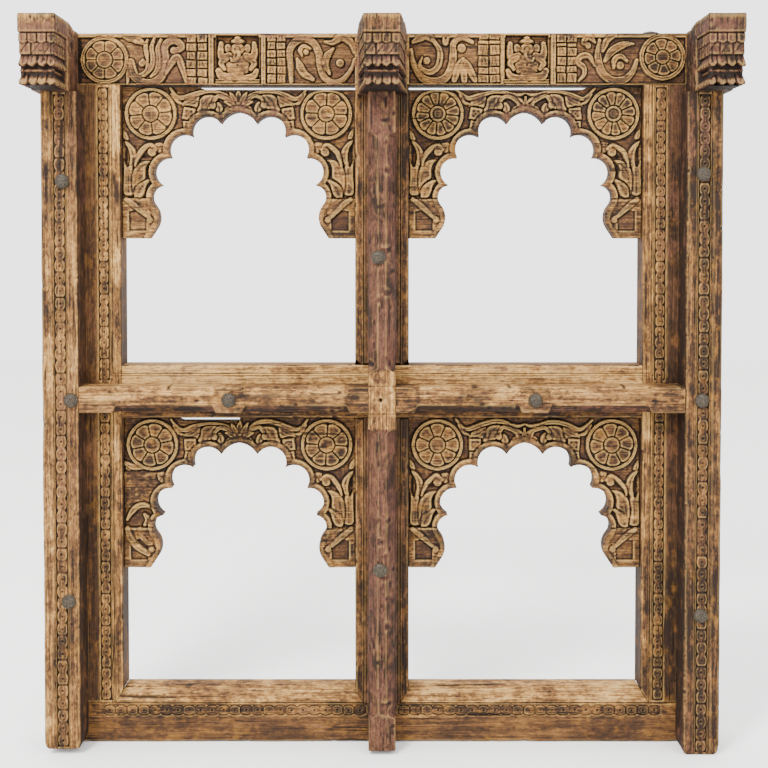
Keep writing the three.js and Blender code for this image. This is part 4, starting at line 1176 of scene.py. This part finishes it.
def makeHead():
    s = size
    across = stations((s["headBottom"], s["headTop"], 1.5))
    plan = {
        "across": across, "along": stations((-664, -600, 6), (-600, -48, 1.7), (-48, 48, 8),
                                            (48, 608, 1.7), (608, 664, 6)),
        "depths": (0.0, s["face"]), "seed": 91, "edge": 2.0, "ceiling": 0.5,
        "paint": lambda x, z: 0.2 + 0.2 * ripple(x, z, (70, 50), 17) + 0.12 * (x < 0),
        "tone": lambda x, z: 0.38 + 0.15 * (x > 0) + 0.1 * ripple(x, z, (160, 60), 15),
        "slot": "carved_wood", "material": teakLevel,
    }
    return straightPiece("head_rail_carved", "head_rail", plan, headRelief, False)


makeHead()
print("head made")


# Cusped arches: u runs from the jamb to the crown, v down from the top, in mm

archPlan = {
    "width": 233.55, "height": 304.0, "back": 10.0, "front": 40.0, "topGap": 2.5, "step": 1.5,
    "crown": (1, 0.163),
    "lobes": [((0.91, 0.188), (0.845, 0.242)), ((0.722, 0.191), (0.603, 0.329)),
              ((0.43, 0.345), (0.417, 0.467)),
              ((0.272, 0.55), (0.34, 0.648)), ((0.25, 0.712), (0.275, 0.78)),
              ((0.312, 0.85), (0.283, 0.934))],
    "foot": (0.2265, 1), "rim": 11.5,
    # hollows between the leaves: where, how wide and high, and how deep
    "hollows": [((7, 138), (3.5, 18), 4.0), ((46, 139), (8, 5), 3.5), ((51, 170), (3.5, 11), 3.5)],
    "leaflets": [[(233, 44), (232, 26), (233, 6)], [(232, 40), (224, 24), (217, 10)],
                 [(230, 42), (216, 33), (206, 30)]],
    "tiedStems": [[(216, 30), (222, 40), (232, 34), (233, 20)], [(204, 12), (220, 16), (234, 12)]],
    "rosette": {"at": (57.5, 54.0), "ring": 52.5, "reach": 44.0, "heart": 16.4},
}

# Leaves drawn by their outlines, each with its cut lines and its height
archLeaves = [
    ([(4, 106), (4, 106), (13, 110), (23, 120), (29, 133), (26, 146), (21, 158), (16, 170), (10, 172),
      (13, 155),
      (15, 140), (12, 124), (6, 114)], [[(9, 112), (20, 128), (21, 148), (15, 168)]], 0.0),
    ([(2, 146), (9, 160), (18, 158), (21, 172), (19, 192), (22, 215), (2, 215), (2, 180)],
     [[(13, 165), (12, 190), (12, 213)]], -0.8),
    ([(22, 216), (19, 195), (20, 174), (26, 160), (36, 151), (47, 147), (58, 148), (58, 148), (50, 155),
      (46, 166),
      (46, 183), (37, 190), (28, 199), (24, 216)], [[(54, 150), (34, 164), (27, 186), (24, 208)]], 0.2),
    ([(24, 221), (24, 205), (31, 195), (42, 188), (52, 184), (60, 186), (60, 186), (50, 194), (46, 208),
      (40, 219),
      (31, 223)], [[(55, 187), (39, 200), (31, 215)]], 0.2),
    ([(119, 40), (119, 40), (126, 27), (140, 20), (156, 17), (156, 17), (155, 30), (150, 42), (136, 39)],
     [[(122, 38), (140, 30), (155, 19)], [(126, 39), (142, 36), (152, 30)]], -0.4),
    ([(156, 24), (166, 16), (182, 15), (194, 20), (188, 30), (182, 41), (170, 47), (156, 52), (150, 46),
      (155, 36)],
     [[(160, 48), (164, 32), (178, 18)], [(170, 45), (176, 32), (186, 22)]], 0.2),
    ([(184, 36), (192, 30), (200, 36), (203, 48), (198, 58), (190, 52)], [[(193, 34), (197, 54)]], -1.0),
    ([(66, 112), (78, 110), (90, 116), (90, 116), (86, 128), (78, 134), (68, 126)],
     [[(70, 114), (84, 130)], [(80, 112), (72, 128)], [(86, 118), (70, 120)]], -1.4),
    ([(2, 84), (10, 92), (14, 104), (8, 106), (2, 100)], [[(4, 90), (8, 103)]], -2.0),
]

# Stems: points, width, end widths, veins, level
archStems = [
    ([(27, 158), (30, 143), (38, 130), (48, 121), (58, 118), (67, 125)], 11, (0.5, 0.8), 0, 0.2),
    ([(96, 2), (109, 18), (123, 23), (152, 12), (176, 7), (198, 11), (219, 24), (234, 34)], 11,
     (0.5, 0.6), 1, 0.0),
    ([(228, 40), (214, 26), (202, 20), (192, 20), (184, 28), (186, 38)], 9, (0.5, 0.7), 1, 0.2),
    ([(100, 14), (112, 30), (122, 34)], 9, (0.5, 0.5), 0, -1.6),
    ([(206, 48), (218, 42), (232, 44)], 10, (0.5, 0.7), 1, -1.2),
]
# What is left in a half where the leaves have weathered away
archWornStems = [
    ([(4, 92), (20, 100), (40, 98), (58, 104)], 15, (0.6, 0.4), 1, -0.4),
    ([(4, 206), (14, 192), (28, 180), (44, 176), (60, 184)], 13, (0.5, 0.4), 1, 0.2),
    ([(40, 196), (46, 206), (42, 218)], 12, (0.6, 0.6), 1, -0.6),
]
archWornRibs = [([(6, 224), (12, 242), (26, 262), (48, 276)], 15, 0.0),
                ([(30, 226), (36, 244), (52, 258)], 12, -1.5)]
archBalls = [(59, 130, 9.0), (183, 38, 6.5), (55, 267, 7.0)]
archRibs = [([(8, 226), (26, 240), (52, 262)], 13, 0.0), ([(29, 226), (42, 240), (53, 254)], 8, -2.5)]


def carveOutline(field, outline, lines, level, swell=2.2):
    # a leaf given by its outline, with cut lines on it
    outline = np.array(outline, float)
    loop = smoothLine(np.vstack([outline, outline[:1]]), 5)
    patch = patchOf(field, loop.min(axis=0) - 4, loop.max(axis=0) + 4)
    if patch is None:
        return
    u, v = field["x"][patch], field["z"][patch]
    away = nearestOn(u, v, loop)[0]
    inside = np.where(insideOutline(u, v, loop[:-1]), away, -away)
    raiseShape(field, patch, inside, level, 1.8, swell, max(3.0, inside.max()))
    for line in lines:
        carveLine(field, line, 1.3, 0.9)


def arcThrough(a, m, b, steps):
    # points after a and up to b on the circle through a, m and b
    (ax, ay), (mx, my), (bx, by) = a, m, b
    twice = 2 * (ax * (my - by) + mx * (by - ay) + bx * (ay - my))
    sq = [p[0] ** 2 + p[1] ** 2 for p in (a, m, b)]
    cx = (sq[0] * (my - by) + sq[1] * (by - ay) + sq[2] * (ay - my)) / twice
    cy = (sq[0] * (bx - mx) + sq[1] * (ax - bx) + sq[2] * (mx - ax)) / twice

    def angle(p):
        return math.atan2(p[1] - cy, p[0] - cx)

    start = angle(a)
    sweep = (angle(b) - start) % (2 * math.pi)
    if (angle(m) - start) % (2 * math.pi) > sweep:
        sweep -= 2 * math.pi
    radius = math.hypot(ax - cx, ay - cy)
    turns = [start + sweep * i / steps for i in range(1, steps + 1)]
    return [(cx + radius * math.cos(turn), cy + radius * math.sin(turn)) for turn in turns]


def archEdge():
    p = archPlan

    def scaled(q):
        return q[0] * p["width"], q[1] * p["height"]

    here = scaled(p["crown"])
    line = [here]
    for through, to in p["lobes"]:
        line.extend(arcThrough(here, scaled(through), scaled(to), 12))
        here = scaled(to)
    line.append(scaled(p["foot"]))
    return np.array(line)


def insideOutline(u, v, outline):
    inside = np.zeros(u.shape, bool)
    for (ax, ay), (bx, by) in zip(outline, np.roll(outline, -1, axis=0)):
        if ay == by:
            continue
        crossing = ((ay > v) != (by > v)) & (u < (bx - ax) * (v - ay) / (by - ay) + ax)
        inside ^= crossing
    return inside


def nearestOn(u, v, line):
    best = np.full(u.shape, 1e9)
    place = np.stack([u, v], axis=-1)
    found = place.copy()
    for (ax, ay), (bx, by) in zip(line, line[1:]):
        way = np.array([bx - ax, by - ay])
        t = np.clip(((u - ax) * way[0] + (v - ay) * way[1]) / (way @ way), 0, 1)
        on = np.stack([ax + t * way[0], ay + t * way[1]], axis=-1)
        distance = np.hypot(*(np.moveaxis(on - place, -1, 0)))
        near = distance < best
        best = np.where(near, distance, best)
        found = np.where(near[..., None], on, found)
    return best, found


edgeLine = archEdge()


def carveArch(u, v, seed, petals, crownKind, worn):
    p = archPlan
    random = np.random.default_rng(seed)

    def wobble(amount):
        return random.uniform(-amount, amount)

    field = {"x": u, "z": v, "h": np.full(u.shape, -6.5) + ripple(u, v, (6, 6), seed) * 0.8, "ground": -6.5}
    toEdge = nearestOn(u, v, edgeLine)[0]
    for outline, lines, level in archLeaves[4:] if worn else archLeaves:
        move = np.array([wobble(1.2), wobble(1.6)])
        carveOutline(field, np.array(outline) + move, [np.array(line) + move for line in lines], level)
    for points, width, tips, veins, level in archWornStems + archStems[1:] if worn else archStems:
        moved = [(a + wobble(1.6), b + wobble(1.6)) for a, b in points]
        carveRibbon(field, moved, width * (1 + wobble(0.08)), level, tips, veins, 2.4)
    if worn:
        pitted = easeIn((v - 104) / 12) * easeIn((192 - v) / 16) * easeIn((72 - u) / 12)
        field["h"] += pitted * (3.0 + ripple(u, v, (9, 8), 77) * 0.9 + ripple(u, v, (24, 20), 78) * 1.6)
    else:
        for centre, reach, depth in p["hollows"]:
            carveHollow(field, centre, reach, depth)
    for a, b, radius in archBalls[worn:2]:
        carveBall(field, (a + wobble(1), b + wobble(1)), radius, 0.3)
    # small square flowers in the corners left over
    for (a, b), half, turn in (((134, 54), 12.5, 0.05), ((131, 77), 9, 0.1)):
        carveBlock(field, np.array((a - half, b - half)), np.array((a + half, b + half)), -0.6,
                   turn + wobble(0.15), 2.0)
        for k in range(4):
            angle = turn + k * math.pi / 2 + 0.8
            dent = (a + half * 0.55 * math.cos(angle), b + half * 0.55 * math.sin(angle))
            carveHollow(field, dent, (2, 2), 1.8)
        carveHollow(field, (a, b), (1.5, 1.5), 1.5)
    # the crown: three leaflets, or two tied stems
    if crownKind == "leaves":
        for points in p["leaflets"]:
            carveRibbon(field, points, 12, 0.0, (0.6, 0.4), 1, 2.0)
        carveBall(field, (234, 36), 6, 0.0)
    else:
        for points in p["tiedStems"]:
            carveRibbon(field, points, 7, 0.0, (0.6, 0.6), 1, 1.6)
    # a band along the edge, and the border at the foot
    r = p["rim"]
    rim = np.minimum(r - toEdge, 40)
    band = -6.5 + 6.5 * easeIn(rim / 2.0 + 0.3) - 1.3 * np.clip(toEdge / r - 0.55, 0, 1) * 2
    band = band - 1.0 * np.clip(1 - toEdge / 2.5, 0, 1)
    field["h"] = np.where(rim > -0.7, np.maximum(band, np.minimum(field["h"], -1.5)), field["h"])
    field["h"] -= 1.8 * np.exp(-((toEdge - r - 1.6) / 1.0) ** 2) * (v < 226)
    # below the ledge: ribs over a sunk field
    lower = (v > 224) & (toEdge > r * 0.55)
    sunk = (u > 13) & (u < 48) & (v > 250 - (u - 10) * 0.2) & (v < 288)
    field["h"] = np.where(lower, np.where(sunk, -6.0, np.maximum(field["h"], -2.5)), field["h"])
    for points, width, level in archWornRibs if worn else archRibs:
        moved = [(a + wobble(1.0), b + wobble(1.0)) for a, b in points]
        carveRibbon(field, moved, width, level, (0.8, 0.8), 0, 2.0)
    a, b, radius = archBalls[2]
    carveBall(field, (a, b), radius, 0.3)
    field["h"] -= 2.6 * np.exp(-((v - 223.5 - wobble(2)) / 1.1) ** 2) * (u < 62)
    # rosette over all
    q = p["rosette"]
    carveRosette(field, q["at"], q["ring"], petals, q["reach"], q["heart"], 0.2 + wobble(0.2), 0.2,
                 petals > 8)
    # worn outer edges, chisel marks and dents
    for away in (u + 0.5, v + 0.5, p["height"] - v):
        field["h"] -= 1.6 * np.clip(1 - away / 2.4, 0, 1) ** 2
    field["h"] += ripple(u, v, (3.5, 30), seed + 3) * 0.25 - np.clip(ripple(u, v, (8, 8), seed + 4) - 0.6,
                                                                     0, 1) * 3
    field["h"] = np.clip(field["h"], -13, 1.6)
    return field


def makeArchHalf(light, side):
    p = archPlan
    us = np.linspace(0, p["width"], int(p["width"] / p["step"]) + 1)
    vs = np.linspace(0, p["height"], int(p["height"] / p["step"]) + 1)
    u, v = np.meshgrid(us, vs)
    outline = np.vstack([[(0, 0), (p["width"], 0)], edgeLine, [(0, p["height"])]])
    name = light["name"] + ("_arch_left_half" if side < 0 else "_arch_right_half")
    field = carveArch(u, v, light["seed"] + side, light["petals"], light["crown"], side in light["worn"])
    middleU, middleV = (u[1:, 1:] + u[:-1, :-1]) / 2, (v[1:, 1:] + v[:-1, :-1]) / 2
    keep = insideOutline(middleU, middleV, outline)
    touched = np.zeros(u.shape, int)
    possible = np.zeros(u.shape, int)
    for dr in (0, 1):
        for dc in (0, 1):
            rows, columns = slice(dr, dr + keep.shape[0]), slice(dc, dc + keep.shape[1])
            touched[rows, columns] += keep
            possible[rows, columns] += 1
    border = (touched > 0) & (touched < possible)
    nearest = nearestOn(u, v, edgeLine)[1]
    u2, v2 = np.where(border, nearest[..., 0], u), np.where(border, nearest[..., 1], v)
    edge = light["middle"] + side * (p["width"] + 0.15)
    # the top edge stands off the rail above where daylight shows through
    start, gap = light["gap"][side]
    lowered = gap * easeIn((u2 - start) / 20) * np.clip(1 - v2 / 14, 0, 1)
    x, z = edge - side * u2, light["top"] - p["topGap"] - v2 - lowered
    depth = p["front"] + field["h"]
    flip = side > 0
    order = np.s_[::-1, ::-1] if flip else np.s_[::-1, :]
    points = np.stack([x, depth, z], axis=-1)[order]
    marks = marksOf(field["h"], light["paint"](u, v, side), light["tone"](u, v, side), 3)
    piece = gridPiece(name + "_carved", points)
    mark(piece, {key: value[order] for key, value in marks.items()})
    drop = ~keep[order]
    mesh = piece.data
    mesh.vertices.foreach_set('select', np.zeros(len(mesh.vertices), bool))
    mesh.edges.foreach_set('select', np.zeros(len(mesh.edges), bool))
    mesh.polygons.foreach_set('select', drop.ravel())
    bpy.context.tool_settings.mesh_select_mode = (False, False, True)
    bpy.ops.object.mode_set(mode='EDIT')
    bpy.ops.mesh.delete(type='FACE')
    bpy.ops.mesh.select_mode(type='EDGE')
    bpy.ops.mesh.select_all(action='DESELECT')
    bpy.ops.mesh.select_non_manifold()
    bpy.ops.mesh.extrude_edges_move()
    bpy.ops.transform.resize(value=(1, 0, 1), center_override=(0, -p["back"] / 1000, 0))
    bpy.ops.mesh.edge_face_add()
    bpy.ops.mesh.select_all(action='SELECT')
    bpy.ops.mesh.normals_make_consistent(inside=False)
    bpy.ops.object.mode_set(mode='OBJECT')
    return finishPiece(piece, name, teakLevel)


lights = [
    {"name": "upper_left", "middle": -288.0, "top": 623.0, "petals": 8, "crown": "leaves", "seed": 501,
     "worn": [],
     "gap": {-1: (150, 5.2), 1: (-20, 5.2)},
     "paint": lambda u, v, side: 0.12 + 0.22 * easeIn((u - 90) / 80) + 0.1 * (side > 0),
     "tone": lambda u, v, side: 0.43 + 0.3 * easeIn((u - 110) / 70) + 0.1 * (side > 0)},
    {"name": "upper_right", "middle": 288.0, "top": 623.0, "petals": 12, "crown": "stems", "seed": 511,
     "worn": [],
     "gap": {-1: (-20, 5.2), 1: (104, 5.2)},
     "paint": lambda u, v, side: 0.2 + 0.26 * easeIn((u - 90) / 80),
     "tone": lambda u, v, side: 0.56 + 0.34 * easeIn((u - 80) / 70) + 0.0 * v},
    {"name": "lower_left", "middle": -288.0, "top": -44.0, "petals": 8, "crown": "leaves", "seed": 521,
     "worn": [-1],
     "gap": {-1: (100, 6.4), 1: (240, 0.0)},
     "paint": lambda u, v, side: 0.12 + 0.12 * easeIn((u - 90) / 80),
     "tone": lambda u, v, side: 0.58 + 0.06 * (side < 0) + 0.1 * easeIn((u - 110) / 70)},
    {"name": "lower_right", "middle": 288.0, "top": -44.0, "petals": 8, "crown": "stems", "seed": 531,
     "worn": [],
     "gap": {-1: (0, 0.0), 1: (0, 0.0)},
     "paint": lambda u, v, side: 0.14 + 0.12 * easeIn((u - 90) / 80),
     "tone": lambda u, v, side: 0.57 + 0.14 * easeIn((u - 110) / 70) + 0.0 * v},
]
for light in lights:
    for side in (-1, 1):
        makeArchHalf(light, side)
print("arches made")


# Iron nails: a hammered dome, made once and copied

nailPlan = {
    "nodes": ["left_post_upper_nail", "left_post_middle_nail", "left_post_lower_nail",
              "right_post_upper_nail",
              "right_post_middle_nail", "right_post_lower_nail", "centre_post_upper_nail",
              "centre_post_lower_nail",
              "left_bar_nail", "right_bar_nail"],
}


def makeDome():
    bpy.ops.object.select_all(action='DESELECT')
    bpy.ops.mesh.primitive_uv_sphere_add(segments=26, ring_count=16, radius=1)
    dome = bpy.context.object
    bpy.ops.object.mode_set(mode='EDIT')
    bpy.ops.mesh.select_all(action='SELECT')
    bpy.ops.mesh.bisect(plane_co=(0, 0, 0), plane_no=(0, 0, 1), use_fill=True, clear_inner=True)
    bpy.ops.mesh.select_all(action='SELECT')
    bpy.ops.mesh.normals_make_consistent(inside=False)
    bpy.ops.object.mode_set(mode='OBJECT')
    return dome


def nailFrom(dome, node, seed, upwards=False):
    low, high = (np.array(corner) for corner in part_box(node))
    middle, radius = (low + high) / 2, (high[0] - low[0]) / 2
    rise = high[2] - low[2] if upwards else high[1] - low[1]
    piece = dome.copy()
    piece.data = dome.data.copy()
    bpy.context.collection.objects.link(piece)
    piece.name = piece.data.name = node + "_head"
    co = np.empty(len(piece.data.vertices) * 3, np.float32)
    piece.data.vertices.foreach_get('co', co)
    co = co.reshape(-1, 3)
    # hammered facets: the dome is cut by a few planes, and the rim is uneven
    random = np.random.default_rng(seed)
    for _ in range(9):
        way = random.normal(size=3)
        way[2] = abs(way[2]) + 0.35
        way /= np.linalg.norm(way)
        over = np.clip(co @ way - random.uniform(0.86, 0.95), 0, 1)
        co -= over[:, None] * way[None, :]
    around = np.arctan2(co[:, 1], co[:, 0])
    rim = 0.965 + 0.03 * np.sin(around * 3 + seed) * np.sin(around * 2 + 1.3 * seed)
    co[:, :2] *= rim[:, None]
    co[:, 2] = np.clip(co[:, 2], 0, 0.97)
    out = np.stack([co[:, 0] * radius, co[:, 1] * radius, co[:, 2] * rise], axis=-1)
    if upwards:
        place = out + [middle[0], middle[1], low[2]]
    else:
        place = np.stack([out[:, 0] + middle[0], high[1] - out[:, 2], out[:, 1] + middle[2]], axis=-1)
    piece.data.vertices.foreach_set('co', place.astype(np.float32).ravel())
    piece.data.update()
    return finishPiece(piece, node, ironFinish, 30)


dome = makeDome()
for number, node in enumerate(nailPlan["nodes"]):
    nailFrom(dome, node, 601 + number)
nailFrom(dome, "head_top_nail", 631, True)
bpy.data.objects.remove(dome)
print("nails made")


# Floor, light and camera

def makeStage():
    bpy.ops.object.select_all(action='DESELECT')
    bpy.ops.mesh.primitive_plane_add(size=14, location=(0, 0, -0.7022))
    floor = bpy.context.object
    floor.name = "floor"
    material, tree = newMaterial("plain white floor")
    shader = addNode(tree, 'BsdfPrincipled', {'Base Color': linear("#F4F4F2"), 'Roughness': 0.9})
    addNode(tree, 'OutputMaterial', {'Surface': shader.outputs[0]})
    floor.data.materials.append(material)


lightPlan = [
    {"name": "key", "at": (-1.6, -2.6, 2.9), "size": 1.2, "power": 290},
    {"name": "fill", "at": (2.2, -2.6, 1.2), "size": 2.0, "power": 45},
]


def makeLights():
    target = np.array([0.0, 0.0, 0.0])
    for plan in lightPlan:
        data = bpy.data.lights.new(plan["name"], 'AREA')
        data.shape = 'DISK'
        data.size = plan["size"]
        data.energy = plan["power"]
        lamp = bpy.data.objects.new(plan["name"], data)
        lamp.location = plan["at"]
        way = target - np.array(plan["at"])
        tilt = math.atan2(math.hypot(way[0], way[1]), -way[2])
        lamp.rotation_euler = (tilt, 0, math.atan2(way[1], way[0]) - math.pi / 2)
        bpy.context.collection.objects.link(lamp)
    world = bpy.data.worlds.new("white studio")
    bpy.context.scene.world = world
    world.use_nodes = True
    world.node_tree.nodes['Background'].inputs['Color'].default_value = (1, 1, 1, 1)
    world.node_tree.nodes['Background'].inputs['Strength'].default_value = 3.0


cameraPlan = {"at": (0.0, -2.252, 0.313), "lens": 51.56, "pitch": 1.45, "shiftX": 0.0026, "shiftY": -0.151}


def makeCamera():
    data = bpy.data.cameras.new("camera")
    data.lens = cameraPlan["lens"]
    data.sensor_width = 36
    data.shift_x, data.shift_y = cameraPlan["shiftX"], cameraPlan["shiftY"]
    camera = bpy.data.objects.new("camera", data)
    camera.location = cameraPlan["at"]
    camera.rotation_euler = (math.radians(90 - cameraPlan["pitch"]), 0, 0)
    bpy.context.collection.objects.link(camera)
    bpy.context.scene.camera = camera


makeStage()
makeLights()
makeCamera()
